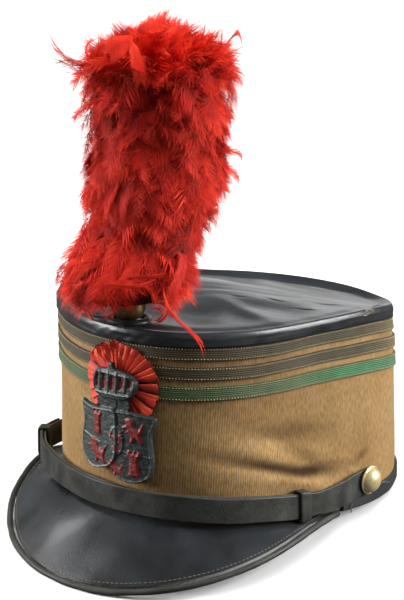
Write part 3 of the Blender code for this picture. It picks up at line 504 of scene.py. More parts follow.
def tube_rings(path, radius, corners, lean):
    """Rings of points round a path. The lean is a direction that the path never follows."""
    along = unit(np.gradient(path, axis=0))
    side = unit(np.cross(along, lean))
    up = np.cross(side, along)
    turn = turns(corners)[None, :, None]
    ring = side[:, None] * np.cos(turn) + up[:, None] * np.sin(turn)
    return path[:, None] + ring * np.reshape(radius, (-1, 1, 1))


def turned(name, profile, steps, frame_here, finish, **details):
    """A profile of radius and height turned round the frame's Z axis, with its poles closed."""
    points = []
    rings = []
    for radius, height in profile:
        if radius < 1e-7:
            rings.append([len(points)] * steps)
            points.append(frame_here @ Vector((0, 0, height)))
            continue
        rings.append(list(range(len(points), len(points) + steps)))
        for k in range(steps):
            turn = 2 * math.pi * k / steps
            points.append(frame_here @ Vector((radius * math.cos(turn), radius * math.sin(turn), height)))
    faces = []
    for low, high in zip(rings, rings[1:]):
        for k in range(steps):
            m = (k + 1) % steps
            face = tuple(dict.fromkeys((low[k], low[m], high[m], high[k])))
            if len(face) > 2:
                faces.append(face)
    return new_piece(name, points, faces, finish, **details)


def rounded_strip(width, thickness, radius, steps=4, flat_steps=6):
    """A closed section, across and out, of a strip with rounded edges that lies on its inner face."""
    radius = min(radius, thickness / 2 - 1e-6)
    corner = np.linspace(0, math.pi / 2, steps)
    middles = ((width / 2 - radius, thickness - radius), (-width / 2 + radius, thickness - radius))
    points = []
    for k, (x, y) in enumerate(middles):
        turn = corner + k * math.pi / 2
        points.extend(zip(x + radius * np.cos(turn), y + radius * np.sin(turn)))
        if k == 0:
            ends = np.linspace(width / 2 - radius, -width / 2 + radius, flat_steps + 2)[1:-1]
            points.extend((x_here, thickness) for x_here in ends)
    points.extend(((-width / 2, radius * 0.5), (-width / 2 + radius * 0.5, 0.0)))
    points.extend(((width / 2 - radius * 0.5, 0.0), (width / 2, radius * 0.5)))
    return np.array(points)


def frame_along(place, direction):
    return Matrix.Translation(place) @ Vector(direction).to_track_quat("Z", "Y").to_matrix().to_4x4()


# Node trees for what repeats


def new_tree(name, inputs):
    tree = bpy.data.node_groups.new(name, "GeometryNodeTree")
    tree.interface.new_socket("Geometry", in_out="INPUT", socket_type="NodeSocketGeometry")
    for label, kind, default in inputs:
        socket = tree.interface.new_socket(label, in_out="INPUT", socket_type=kind)
        if default is not None:
            socket.default_value = default
    tree.interface.new_socket("Geometry", in_out="OUTPUT", socket_type="NodeSocketGeometry")
    return tree, tree.nodes.new("NodeGroupInput").outputs, tree.nodes.new("NodeGroupOutput")


def grown(name, mesh, tree, values):
    """The plain mesh that a tree makes of a mesh, with the tree's inputs set by name."""
    obj = bpy.data.objects.new(name, mesh)
    bpy.context.scene.collection.objects.link(obj)
    modifier = obj.modifiers.new("Grow", "NODES")
    modifier.node_group = tree
    for item in tree.interface.items_tree:
        if item.in_out == "INPUT" and item.name in values:
            modifier[item.identifier] = values[item.name]
    bpy.context.view_layer.update()
    graph = bpy.context.evaluated_depsgraph_get()
    made = bpy.data.meshes.new_from_object(obj.evaluated_get(graph))
    bpy.data.objects.remove(obj)
    bpy.data.meshes.remove(mesh)
    made.name = name
    return made


def stitch_tree():
    """Stitches laid along lines of points that carry an outward direction."""
    tree, given, result = new_tree(
        "Stitches",
        (
            ("Pitch", "NodeSocketFloat", 2.0 * MM),
            ("Length", "NodeSocketFloat", 1.4 * MM),
            ("Width", "NodeSocketFloat", 0.6 * MM),
            ("Height", "NodeSocketFloat", 0.4 * MM),
            ("Unevenness", "NodeSocketFloat", 0.1),
            ("Thread", "NodeSocketMaterial", None),
        ),
    )
    line = add_node(tree, "GeometryNodeMeshToCurve", {"Mesh": given["Geometry"]})
    spaced = add_node(
        tree, "GeometryNodeResampleCurve", {"Curve": line.outputs[0], "Length": given["Pitch"]}, mode="LENGTH"
    )
    ball = add_node(tree, "GeometryNodeMeshUVSphere", {"Segments": 6, "Rings": 4, "Radius": 0.5})
    size = add_node(
        tree, "ShaderNodeCombineXYZ", {"X": given["Length"], "Y": given["Width"], "Z": given["Height"]}
    )
    stitch = add_node(
        tree, "GeometryNodeTransform", {"Geometry": ball.outputs["Mesh"], "Scale": size.outputs[0]}
    )
    outward = add_node(tree, "GeometryNodeInputNamedAttribute", {"Name": "outward"}, data_type="FLOAT_VECTOR")
    along = add_node(tree, "GeometryNodeInputTangent")
    sway = add_node(tree, "FunctionNodeRandomValue", data_type="FLOAT_VECTOR")
    spread = add_node(
        tree, "ShaderNodeVectorMath", {0: (1.0, 1.0, 1.0), "Scale": given["Unevenness"]}, operation="SCALE"
    )
    back = add_node(tree, "ShaderNodeVectorMath", {0: spread.outputs[0], "Scale": -1.0}, operation="SCALE")
    tree.links.new(back.outputs[0], sway.inputs[0])
    tree.links.new(spread.outputs[0], sway.inputs[1])
    sway.inputs["Seed"].default_value = 7
    bent = add_node(tree, "ShaderNodeVectorMath", {0: along.outputs[0], 1: sway.outputs[0]}, operation="ADD")
    turn = add_node(
        tree,
        "FunctionNodeAxesToRotation",
        {"Primary Axis": outward.outputs[0], "Secondary Axis": bent.outputs[0]},
        primary_axis="Z",
        secondary_axis="X",
    )
    laid = add_node(
        tree,
        "GeometryNodeInstanceOnPoints",
        {"Points": spaced.outputs[0], "Instance": stitch.outputs[0], "Rotation": turn.outputs[0]},
    )
    real = add_node(tree, "GeometryNodeRealizeInstances", {"Geometry": laid.outputs[0]})
    coloured = add_node(
        tree, "GeometryNodeSetMaterial", {"Geometry": real.outputs[0], "Material": given["Thread"]}
    )
    tree.links.new(coloured.outputs[0], result.inputs[0])
    return tree


def stitches(name, lines, thread, pitch, length, width, height, unevenness):
    """Stitches along lines, each a pair of points and outward directions, closed or open."""
    points, outward, edges = [], [], []
    for path, normals, closed in lines:
        start = len(points)
        points.extend(path.tolist())
        outward.extend(normals.tolist())
        edges.extend((start + k, start + k + 1) for k in range(len(path) - 1))
        if closed:
            edges.append((len(points) - 1, start))
    mesh = bpy.data.meshes.new(name)
    mesh.from_pydata(points, edges, [])
    mark(mesh, "outward", outward, "FLOAT_VECTOR")
    values = {
        "Pitch": pitch,
        "Length": length,
        "Width": width,
        "Height": height,
        "Unevenness": unevenness,
        "Thread": thread,
    }
    tree = bpy.data.node_groups.get("Stitches") or stitch_tree()
    return place_piece(name, grown(name, mesh, tree, values), thread)


def wall_line(angle, height, offset):
    """A line on the hat with its outward directions."""
    points = wall(angle, height, offset)
    nx, ny = plan_normal(angle, height)
    return points, np.stack([nx, ny, np.zeros_like(nx)], -1)


# Finishes

WAVE_PERIOD = math.pi / 10  # length of one band of the wave texture at a scale of one


def new_finish(name, **settings):
    """A material with its shader's sockets set by name."""
    material = bpy.data.materials.new(name)
    material.use_nodes = True
    tree = material.node_tree
    shader = tree.nodes["Principled BSDF"]
    for label, value in settings.items():
        shader.inputs[label.replace("_", " ").title().replace("Ior", "IOR")].default_value = value
    return material, tree, shader


def wool_twill():
    """Wool twill is woven in steep ribs, so the eye sees fine near-vertical lines and a dry, fuzzy face."""
    look = bpy.context.scene.shako_cloth
    material, tree, shader = new_finish(
        "Tan wool twill", roughness=0.92, sheen_weight=0.2, sheen_roughness=0.5, specular_ior_level=0.2
    )
    shader.inputs["Sheen Tint"].default_value = colour("D9B98A")
    metres = add_node(tree, "ShaderNodeUVMap", uv_map="metres").outputs[0]
    slant = add_node(
        tree, "ShaderNodeMapping", {"Vector": metres, "Rotation": (0, 0, math.radians(look.rib_slant))}
    )
    # Threads of about 0.5 mm are drawn at twice their pitch, the finest that shows at this size.
    ribs = add_node(
        tree,
        "ShaderNodeTexWave",
        {"Vector": slant.outputs[0], "Scale": WAVE_PERIOD / look.rib_pitch, "Distortion": 2.4, "Detail": 3.0,
         "Detail Scale": 1.4},
    )
    fuzz = add_node(
        tree, "ShaderNodeTexNoise", {"Vector": metres, "Scale": 900.0, "Detail": 4.0, "Roughness": 0.7}
    )
    stretched = add_node(tree, "ShaderNodeMapping", {"Vector": metres, "Scale": (1.0, 0.45, 1.0)})
    slubs = add_node(
        tree, "ShaderNodeTexNoise", {"Vector": stretched.outputs[0], "Scale": 620.0, "Detail": 3.0}
    )
    soil = add_node(
        tree, "ShaderNodeTexNoise", {"Vector": metres, "Scale": 16.0, "Detail": 3.0, "Roughness": 0.5}
    )
    fold = add_node(tree, "ShaderNodeAttribute", attribute_name="fold").outputs["Fac"]
    shade = add_node(
        tree, "ShaderNodeValToRGB", {"Fac": ribs.outputs["Fac"]},
        stops=((0.05, look.valley_hex), (0.75, look.cloth_hex))
    )
    worn = add_node(
        tree, "ShaderNodeValToRGB", {"Fac": soil.outputs["Fac"]}, stops=((0.3, "C8BCA8"), (0.6, "FFFFFF"))
    )
    threads = add_node(
        tree, "ShaderNodeValToRGB", {"Fac": slubs.outputs["Fac"]}, stops=((0.3, "BFB096"), (0.68, "FFFFFF"))
    )
    first = add_node(
        tree, "ShaderNodeMix", {0: 0.75, 6: shade.outputs[0], 7: worn.outputs[0]},
        data_type="RGBA", blend_type="MULTIPLY",
    )
    second = add_node(
        tree, "ShaderNodeMix", {0: 0.7, 6: first.outputs[2], 7: threads.outputs[0]},
        data_type="RGBA", blend_type="MULTIPLY",
    )
    # Painted shade: the cloth is darkened at the bottom of the creases and at the foot of the wall.
    creased = add_node(
        tree, "ShaderNodeMix", {0: fold, 6: second.outputs[2], 7: colour("54483C")},
        data_type="RGBA", blend_type="MULTIPLY",
    )
    tree.links.new(creased.outputs[2], shader.inputs["Base Color"])
    bump = add_node(
        tree, "ShaderNodeBump", {"Height": ribs.outputs["Fac"], "Strength": 0.22, "Distance": 0.2 * MM}
    )
    nap = add_node(
        tree, "ShaderNodeBump",
        {"Height": fuzz.outputs["Fac"], "Strength": 0.5, "Distance": 0.25 * MM, "Normal": bump.outputs[0]},
    )
    tree.links.new(nap.outputs[0], shader.inputs["Normal"])
    return material


def patent_leather(name="Cracked black patent leather", streaks=(1.0, 1.0, 1.0), dull=0.0, coat=0.7):
    """Patent leather is lacquered and then crazes with age, so it mirrors light in soft broken streaks."""
    look = bpy.context.scene.shako_leather
    material, tree, shader = new_finish(
        name, roughness=0.4, specular_ior_level=0.4, coat_weight=coat, coat_roughness=0.16 + dull,
        coat_ior=1.5
    )
    place = add_node(tree, "ShaderNodeTexCoord").outputs["Object"]
    long_way = add_node(tree, "ShaderNodeMapping", {"Vector": place, "Scale": streaks})
    haze = add_node(
        tree, "ShaderNodeTexNoise",
        {"Vector": long_way.outputs[0], "Scale": 34.0, "Detail": 5.0, "Roughness": 0.55}
    )
    pores = add_node(tree, "ShaderNodeTexNoise", {"Vector": place, "Scale": 620.0, "Detail": 3.0})
    crackle = add_node(
        tree, "ShaderNodeTexVoronoi", {"Vector": place, "Scale": 300.0, "Randomness": 1.0},
        feature="DISTANCE_TO_EDGE",
    )
    craze = add_node(
        tree, "ShaderNodeValToRGB", {"Fac": crackle.outputs["Distance"]},
        stops=((0.0, "000000"), (0.09, "FFFFFF"))
    )
    shade = add_node(
        tree, "ShaderNodeValToRGB", {"Fac": haze.outputs["Fac"]},
        stops=((0.35, look.patent_hex), (0.7, "252A2E")),
    )
    gloss = add_node(
        tree, "ShaderNodeMapRange",
        {"Value": haze.outputs["Fac"], 1: 0.3, 2: 0.75, 3: 0.2 + dull, 4: 0.5 + dull}
    )
    tree.links.new(shade.outputs[0], shader.inputs["Base Color"])
    tree.links.new(gloss.outputs[0], shader.inputs["Roughness"])
    soft = add_node(
        tree, "ShaderNodeBump", {"Height": haze.outputs["Fac"], "Strength": 0.19, "Distance": 1.2 * MM}
    )
    fine = add_node(
        tree, "ShaderNodeBump",
        {"Height": pores.outputs["Fac"], "Strength": 0.25, "Distance": 0.2 * MM, "Normal": soft.outputs[0]},
    )
    lines = add_node(
        tree, "ShaderNodeBump",
        {"Height": craze.outputs[0], "Strength": 0.12, "Distance": 0.2 * MM, "Normal": fine.outputs[0]},
    )
    tree.links.new(lines.outputs[0], shader.inputs["Normal"])
    tree.links.new(fine.outputs[0], shader.inputs["Coat Normal"])
    return material


def bridle_leather(name="Black bridle leather", gloss=0.42):
    """Bridle leather is waxed and cut from thick hide: satin and grained, with brown raw edges."""
    look = bpy.context.scene.shako_leather
    material, tree, shader = new_finish(name, roughness=gloss, specular_ior_level=0.22)
    place = add_node(tree, "ShaderNodeTexCoord").outputs["Object"]
    hide = add_node(
        tree, "ShaderNodeTexNoise", {"Vector": place, "Scale": 70.0, "Detail": 6.0, "Roughness": 0.65}
    )
    # Grain of about half a millimetre is drawn near one millimetre.
    grain = add_node(tree, "ShaderNodeTexVoronoi", {"Vector": place, "Scale": 900.0})
    shade = add_node(
        tree, "ShaderNodeValToRGB", {"Fac": hide.outputs["Fac"]},
        stops=((0.34, look.leather_hex), (0.72, "464642"))
    )
    raw = add_node(tree, "ShaderNodeAttribute", attribute_name="edge")
    mixed = add_node(
        tree, "ShaderNodeMix", {0: raw.outputs["Fac"], 6: shade.outputs[0], 7: colour("4A4438")},
        data_type="RGBA"
    )
    rough = add_node(
        tree, "ShaderNodeMapRange",
        {"Value": hide.outputs["Fac"], 1: 0.3, 2: 0.7, 3: gloss - 0.12, 4: gloss + 0.2}
    )
    tree.links.new(mixed.outputs[2], shader.inputs["Base Color"])
    tree.links.new(rough.outputs[0], shader.inputs["Roughness"])
    broad = add_node(
        tree, "ShaderNodeBump", {"Height": hide.outputs["Fac"], "Strength": 0.5, "Distance": 0.8 * MM}
    )
    fine = add_node(
        tree, "ShaderNodeBump",
        {
            "Height": grain.outputs["Distance"], "Strength": 0.3, "Distance": 0.25 * MM,
            "Normal": broad.outputs[0],
        },
    )
    tree.links.new(fine.outputs[0], shader.inputs["Normal"])
    return material


def mohair_braid(name, centre_hex, edge_hex, lit_side_hex, lit_side_at, lit_side_range, width):
    """Mohair braid is woven in cords along its length, so it shows lengthwise ribs and a slight lustre."""
    material, tree, shader = new_finish(
        name, roughness=0.75, sheen_weight=0.25, sheen_roughness=0.4, specular_ior_level=0.3
    )
    metres = add_node(tree, "ShaderNodeUVMap", uv_map="metres").outputs[0]
    parts = add_node(tree, "ShaderNodeSeparateXYZ", {"Vector": metres})
    across = add_node(tree, "ShaderNodeMath", {0: parts.outputs["Y"], 1: width}, operation="DIVIDE")
    bands = add_node(
        tree, "ShaderNodeValToRGB", {"Fac": across.outputs[0]},
        stops=((0.0, edge_hex), (0.06, edge_hex), (0.16, centre_hex), (0.84, centre_hex), (0.94, edge_hex),
               (1.0, edge_hex)),
    )
    # Painted light: the braid is painted in a lighter colour over the arc of the hat where a lamp shines on
    # it.
    round_hat = add_node(
        tree, "ShaderNodeMath", {0: parts.outputs["X"], 1: 1.0 / MEAN_RADIUS, 2: -math.radians(lit_side_at)},
        operation="MULTIPLY_ADD",
    )
    towards = add_node(tree, "ShaderNodeMath", {0: round_hat.outputs[0]}, operation="COSINE")
    lit_side = add_node(
        tree, "ShaderNodeMapRange",
        {"Value": towards.outputs[0], 1: lit_side_range[0], 2: lit_side_range[1], 3: 0.0, 4: 1.0}
    )
    middle = add_node(tree, "ShaderNodeMath", {0: across.outputs[0], 1: 0.5}, operation="SUBTRACT")
    middle = add_node(tree, "ShaderNodeMath", {0: middle.outputs[0]}, operation="ABSOLUTE")
    inside = add_node(
        tree, "ShaderNodeMapRange", {"Value": middle.outputs[0], 1: 0.36, 2: 0.3, 3: 0.0, 4: 1.0}
    )
    share = add_node(
        tree, "ShaderNodeMath", {0: lit_side.outputs[0], 1: inside.outputs[0]}, operation="MULTIPLY"
    )
    bands = add_node(
        tree, "ShaderNodeMix", {0: share.outputs[0], 6: bands.outputs[0], 7: colour(lit_side_hex)},
        data_type="RGBA"
    )
    cords = add_node(
        tree, "ShaderNodeTexWave", {"Vector": metres, "Scale": WAVE_PERIOD / (1.0 * MM), "Distortion": 0.4},
        bands_direction="Y",
    )
    weft = add_node(
        tree, "ShaderNodeTexWave", {"Vector": metres, "Scale": WAVE_PERIOD / (0.9 * MM), "Distortion": 0.6},
        bands_direction="X",
    )
    wear = add_node(
        tree, "ShaderNodeTexNoise", {"Vector": metres, "Scale": 90.0, "Detail": 5.0, "Roughness": 0.7}
    )
    faint = add_node(
        tree, "ShaderNodeMath", {0: weft.outputs["Fac"], 1: 0.35, 2: 0.65}, operation="MULTIPLY_ADD"
    )
    both = add_node(
        tree, "ShaderNodeMath", {0: cords.outputs["Fac"], 1: faint.outputs[0]}, operation="MULTIPLY"
    )
    weave = add_node(
        tree, "ShaderNodeValToRGB", {"Fac": both.outputs[0]}, stops=((0.0, "7A7A7A"), (0.6, "FFFFFF"))
    )
    faded = add_node(
        tree, "ShaderNodeValToRGB", {"Fac": wear.outputs["Fac"]}, stops=((0.35, "8C8078"), (0.65, "FFFFFF"))
    )
    first = add_node(
        tree, "ShaderNodeMix", {0: 0.8, 6: bands.outputs[2], 7: weave.outputs[0]},
        data_type="RGBA", blend_type="MULTIPLY",
    )
    second = add_node(
        tree, "ShaderNodeMix", {0: 0.5, 6: first.outputs[2], 7: faded.outputs[0]},
        data_type="RGBA", blend_type="MULTIPLY",
    )
    tree.links.new(second.outputs[2], shader.inputs["Base Color"])
    bump = add_node(
        tree, "ShaderNodeBump", {"Height": both.outputs[0], "Strength": 0.8, "Distance": 0.3 * MM}
    )
    tree.links.new(bump.outputs[0], shader.inputs["Normal"])
    return material


def sewing_thread(name, hex_colour):
    """Twisted thread catches light along its plies, a little brighter than the cloth under it."""
    material, tree, shader = new_finish(name, roughness=0.55, sheen_weight=0.2)
    place = add_node(tree, "ShaderNodeTexCoord").outputs["Object"]
    shift = add_node(tree, "ShaderNodeTexNoise", {"Vector": place, "Scale": 260.0, "Detail": 3.0})
    shade = add_node(
        tree, "ShaderNodeMix", {0: shift.outputs["Fac"], 6: colour(hex_colour), 7: colour("8A7040")},
        data_type="RGBA",
    )
    tree.links.new(shade.outputs[2], shader.inputs["Base Color"])
    return material


def brass(name, bright_hex, dark_hex, low, high, gloss):
    """Stamped brass, polished in some places and tarnished brown in others, as a noise lays them out."""
    # Old lacquer over the metal scatters part of the light.
    material, tree, shader = new_finish(name, metallic=0.6, roughness=gloss)
    place = add_node(tree, "ShaderNodeTexCoord").outputs["Object"]
    tarnish = add_node(
        tree, "ShaderNodeTexNoise", {"Vector": place, "Scale": 130.0, "Detail": 6.0, "Roughness": 0.68}
    )
    shade = add_node(
        tree, "ShaderNodeValToRGB", {"Fac": tarnish.outputs["Fac"]},
        stops=((low, dark_hex), (high, bright_hex))
    )
    rough = add_node(
        tree, "ShaderNodeMapRange",
        {"Value": tarnish.outputs["Fac"], 1: low, 2: high, 3: gloss + 0.3, 4: gloss}
    )
    dings = add_node(
        tree, "ShaderNodeBump", {"Height": tarnish.outputs["Fac"], "Strength": 0.3, "Distance": 0.5 * MM}
    )
    tree.links.new(shade.outputs[0], shader.inputs["Base Color"])
    tree.links.new(rough.outputs[0], shader.inputs["Roughness"])
    tree.links.new(dings.outputs[0], shader.inputs["Normal"])
    return material


# Settings that a user would change


def size_setting(name, description, default_mm, low=0.0):
    return bpy.props.FloatProperty(
        name=name, description=description, default=default_mm * MM, min=low * MM, unit="LENGTH", precision=5
    )


def hex_setting(name, description, default):
    return bpy.props.StringProperty(name=name, description=description, default=default, maxlen=6)


def power_setting(name, default):
    return bpy.props.FloatProperty(name=name, description="Power in watts", default=default)


class ShakoCloth(bpy.types.PropertyGroup):
    cloth_hex: hex_setting("Twill colour", "sRGB hex value of the twill's ribs", "B08F62")
    valley_hex: hex_setting("Rib valleys", "sRGB hex value between the twill's ribs", "957A50")
    rib_pitch: size_setting("Rib pitch", "Distance between the twill's ribs", 1.1, 0.2)
    rib_slant: bpy.props.FloatProperty(name="Rib slant", description="Lean of the ribs, degrees", default=4.0)
    stitch_pitch: size_setting("Stitch pitch", "Distance between gold stitches on the braids", 1.55, 0.5)
    stitch_length: size_setting("Stitch length", "Length of one gold stitch", 0.95, 0.2)
    gold_hex: hex_setting("Gold thread", "sRGB hex value of the stitching on the braids", "DCC87C")


class ShakoLeather(bpy.types.PropertyGroup):
    patent_hex: hex_setting("Patent colour", "sRGB hex value of the patent leather", "17181A")
    leather_hex: hex_setting("Leather colour", "sRGB hex value of the plain leather", "2D2E2B")
    ridge_roll: size_setting("Ridge roll", "Radius of the crown's rolled ridge", 1.3, 0.3)


class ShakoMetal(bpy.types.PropertyGroup):
    brass_hex: hex_setting("Brass", "sRGB hex value of the polished brass", "EED9A6")
    cup_hex: hex_setting("Old brass", "sRGB hex value of the socket's brass", "8C7443")


class ShakoStage(bpy.types.PropertyGroup):
    floor_hex: hex_setting("Floor", "sRGB hex value of the floor", "F4F4F4")
    left_light: power_setting("Left light", 32.0)
    right_light: power_setting("Right light", 38.0)
    front_light: power_setting("Front light", 1.0)
    back_light: power_setting("Back light", 0.9)
    far_light: power_setting("Far light", 2.6)
    overhead_light: power_setting("Overhead light", 0.12)
    low_light: power_setting("Low light", 2.5)
    top_light: power_setting("Top light", 118.0)
    sky_light: bpy.props.FloatProperty(name="Sky", description="Strength of the even light", default=0.12)


# Cloth and leather of the body


class SHAKO_OT_body(bpy.types.Operator):
    """Twill wall of the hat, with its creases, closed at the base and under the crown"""

    bl_idname = "shako.body"
    bl_label = "Twill body"

    def execute(self, context):
        angle = turns(600)[None, :]
        low, top = base_height(angle), crown_height(angle) - WALL_TOP_DROP
        height = low + np.linspace(0.0, 1.0, 90)[:, None] * (top - low)
        inner_height = low + np.linspace(1.0, 0.0, 8)[:, None] * (top - low)
        crease = dents(angle, height, CLOTH_CREASES)
        soft = 0.14 * MM * ripple(*plan(angle, height), height, seed=3, low=12.0, high=60.0)
        held = smooth_step(top - height, 8.0 * MM, 34.0 * MM) * smooth_step(height - low, 1.0 * MM, 9.0 * MM)
        # A crease never cuts through the cloth.
        outer = wall(angle, height, np.maximum((soft - crease) * held, -0.7 * WALL))
        points = np.concatenate([outer, wall(angle, inner_height, -WALL)])
        metres = MEAN_RADIUS * np.broadcast_to(angle, points.shape[:2])
        uv = np.stack([metres, np.concatenate([height, 0.2 - inner_height])], -1)
        faces = grid_faces(len(points), angle.size, True, True)
        # Painted shade: how deep each point lies in a crease, and how near it is to the foot of the wall,
        # darkens the twill's colour.
        crease_shade = np.clip(crease * held / (0.6 * WALL), 0.0, 1.0)
        foot_shade = 1.0 - smooth_step(height - low, 1.0 * MM, 4.0 * MM)
        fold = np.concatenate([np.maximum(crease_shade, foot_shade), np.zeros(inner_height.shape)])
        new_piece("twill_body", points, faces, wool_twill(), "body", "twill", uv=uv, marks={"fold": fold})
        return {"FINISHED"}


CROWN_RIDGE_DIP = 1.0 * MM


def crown_top_height(x, y, ridge, share):
    """Height of the crown's top at a share of the way from its middle to its ridge."""
    waves = 0.0
    for _, wave_x, wave_y, radius, height in CROWN_WAVES:
        away = np.hypot(x / MEAN_RADIUS - wave_x, y / MEAN_RADIUS - wave_y) / radius
        waves = waves + height * CROWN_SAG * np.exp(-away * away)
    middle = CROWN_HEIGHT - CROWN_SLOPE * y + CROWN_CANT * x
    middle = middle - CROWN_BACK_DROP * smooth_step(y, 0.0, MEAN_RADIUS)
    height = middle + (ridge - middle) * share**6
    sag = CROWN_SAG * (1.0 - share**4) + CROWN_RIDGE_DIP * np.exp(-(((share - 0.93) / 0.05) ** 2))
    return height - sag + waves * (1.0 - share**8)


# Creases, cracks and lumps of the crown's top in plan, in millimetres from the middle of the hat
CROWN_CREASES = (
    # name, x, y, length, width, direction in degrees, height
    ("fold_before_cup_a", 54.0, -84.0, 9.0, 2.6, 55.0, 1.0),
    ("fold_before_cup_b", 49.0, -90.0, 5.0, 2.0, 60.0, 0.8),
    ("fold_far_front_a", -22.0, -92.0, 10.0, 2.4, 25.0, 0.9),
    ("fold_far_front_b", -8.0, -98.0, 12.0, 2.2, 8.0, -0.7),
    ("lump_at_back", 78.0, 27.0, 5.0, 4.0, 110.0, 1.3),
    ("crack_a", 57.0, 14.0, 6.0, 0.9, 20.0, -0.5),
    ("crack_b", 54.0, -8.0, 5.0, 0.9, 10.0, -0.5),
    ("crack_c", 33.0, 0.0, 5.0, 0.9, 5.0, -0.5),
    ("crack_d", 14.0, -8.0, 4.0, 0.9, 0.0, -0.4),
    ("long_swell_a", 10.0, 30.0, 46.0, 6.0, 12.0, 0.7),
    ("long_hollow_a", 20.0, 14.0, 40.0, 5.0, 16.0, -0.6),
    ("long_swell_b", 30.0, -30.0, 36.0, 6.0, -30.0, 0.6),
    ("long_hollow_b", -20.0, -20.0, 30.0, 7.0, 30.0, -0.6),
    ("ridge_dent", 70.0, -50.0, 10.0, 4.0, 50.0, -0.6),
)


def crown_creases(x, y):
    total = 0.0
    for _, middle_x, middle_y, length, width, direction, height in CROWN_CREASES:
        turn = math.radians(direction)
        dx, dy = x / MM - middle_x, y / MM - middle_y
        u = (dx * math.cos(turn) + dy * math.sin(turn)) / length
        v = (dy * math.cos(turn) - dx * math.sin(turn)) / width
        total = total + height * MM * np.exp(-u * u - v * v)
    return total


def crown_rows(ridge, share):
    """Rows of the crown's top at shares of the way from its middle to its ridge."""
    x, y = ridge[..., 0] * share, ridge[..., 1] * share
    return np.stack([x, y, crown_top_height(x, y, ridge[..., 2], share)], -1)


class SHAKO_OT_crown(bpy.types.Operator):
    """Patent leather crown: its turned-down band, rolled ridge and sagging, creased top"""

    bl_idname = "shako.crown"
    bl_label = "Leather crown"

    def execute(self, context):
        roll = context.scene.shako_leather.ridge_roll
        angle = turns(560)[None, :]
        ridge_height = crown_height(angle)
        stand = LEATHER + GAP
        face = stand - CROWN_ROLL_INSET + 0.25 * MM
        bow = np.linspace(-CROWN_BAND_DEPTH, -roll * 1.6, 7)[:, None]
        lift = 0.15 * MM * ripple(plan(angle, CROWN_HEIGHT)[0] + 0 * bow, bow * 3 + 0 * angle, seed=9)
        band = wall(angle, ridge_height + bow, stand + lift)
        turn = np.radians([[15.0], [38.0], [60.0], [80.0]])
        rolled = wall(
            angle, ridge_height + roll * (np.sin(turn) - 1.0) * 1.3, face - roll * (1.0 - np.cos(turn)) * 0.9
        )
        ridge = wall(angle, ridge_height, face - roll)
        share = np.concatenate([np.linspace(0.995, 0.9, 18), np.linspace(0.888, 0.02, 58)])[:, None]
        top = crown_rows(ridge, share)
        x, y = top[..., 0], top[..., 1]
        top[..., 2] += crown_creases(x, y) * smooth_step(1.0 - share, 0.0, 0.03)
        unrest = 0.22 * MM * ripple(x, y, seed=21, low=10.0, high=45.0)
        top[..., 2] += unrest * smooth_step(1.0 - share, 0.0, 0.1)
        pole = np.array([0.0, 0.0, top[-1, :, 2].mean()])
        down = np.array([0.0, 0.0, LEATHER * 1.6])
        inner_top = crown_rows(ridge, np.array([[0.05], [0.45], [0.8], [0.95]])) - down
        inner_band = wall(angle, ridge_height - np.array([[1.9 * MM], [4.4 * MM], [CROWN_BAND_DEPTH]]), GAP)
        outer = np.concatenate([band, rolled, ridge, top])
        inner = np.concatenate([inner_top, inner_band])
        count = angle.size
        inner_start = len(outer) * count
        middle_start = inner_start - count
        pole_at = inner_start + len(inner) * count
        foot_start = pole_at - count
        faces = grid_faces(len(outer), count, False, True).tolist()
        faces += (grid_faces(len(inner), count, False, True) + inner_start).tolist()
        for k in range(count):
            m = (k + 1) % count
            faces.append([foot_start + k, foot_start + m, m, k])
            faces.append([middle_start + k, middle_start + m, pole_at])
            faces.append([inner_start + m, inner_start + k, pole_at + 1])
        points = np.concatenate([outer.reshape(-1, 3), inner.reshape(-1, 3), [pole, pole - down]])
        streaks = (0.35, 1.6, 1.0)
        leather = patent_leather("Cracked black patent leather", streaks, dull=0.1, coat=0.35)
        new_piece("leather_crown", points, faces, leather, "crown_top", "patent_leather")
        return {"FINISHED"}


def tape_depth(index):
    return CROWN_BAND_DEPTH + GAP + index * (TAPE_WIDTH + TAPE_SPACING)


# The third colour of each braid, with the angle and range after it, is painted light on one side of the hat.
DARK_BRAID = ("5A503A", "3A342A", "8A7448", 205.0, (-0.4, 0.2))
GREEN_BRAID = ("637850", "4A5A3C", "4C9060", 88.0, (0.84, 0.99))
BRAIDS = (
    # name, width, colours and place of the painted light on the braid, slot
    ("tape_upper", TAPE_WIDTH, DARK_BRAID, "dark_braid"),
    ("tape_middle", TAPE_WIDTH, DARK_BRAID, "dark_braid"),
    ("tape_green", GREEN_TAPE_WIDTH, GREEN_BRAID, "green_braid"),
)


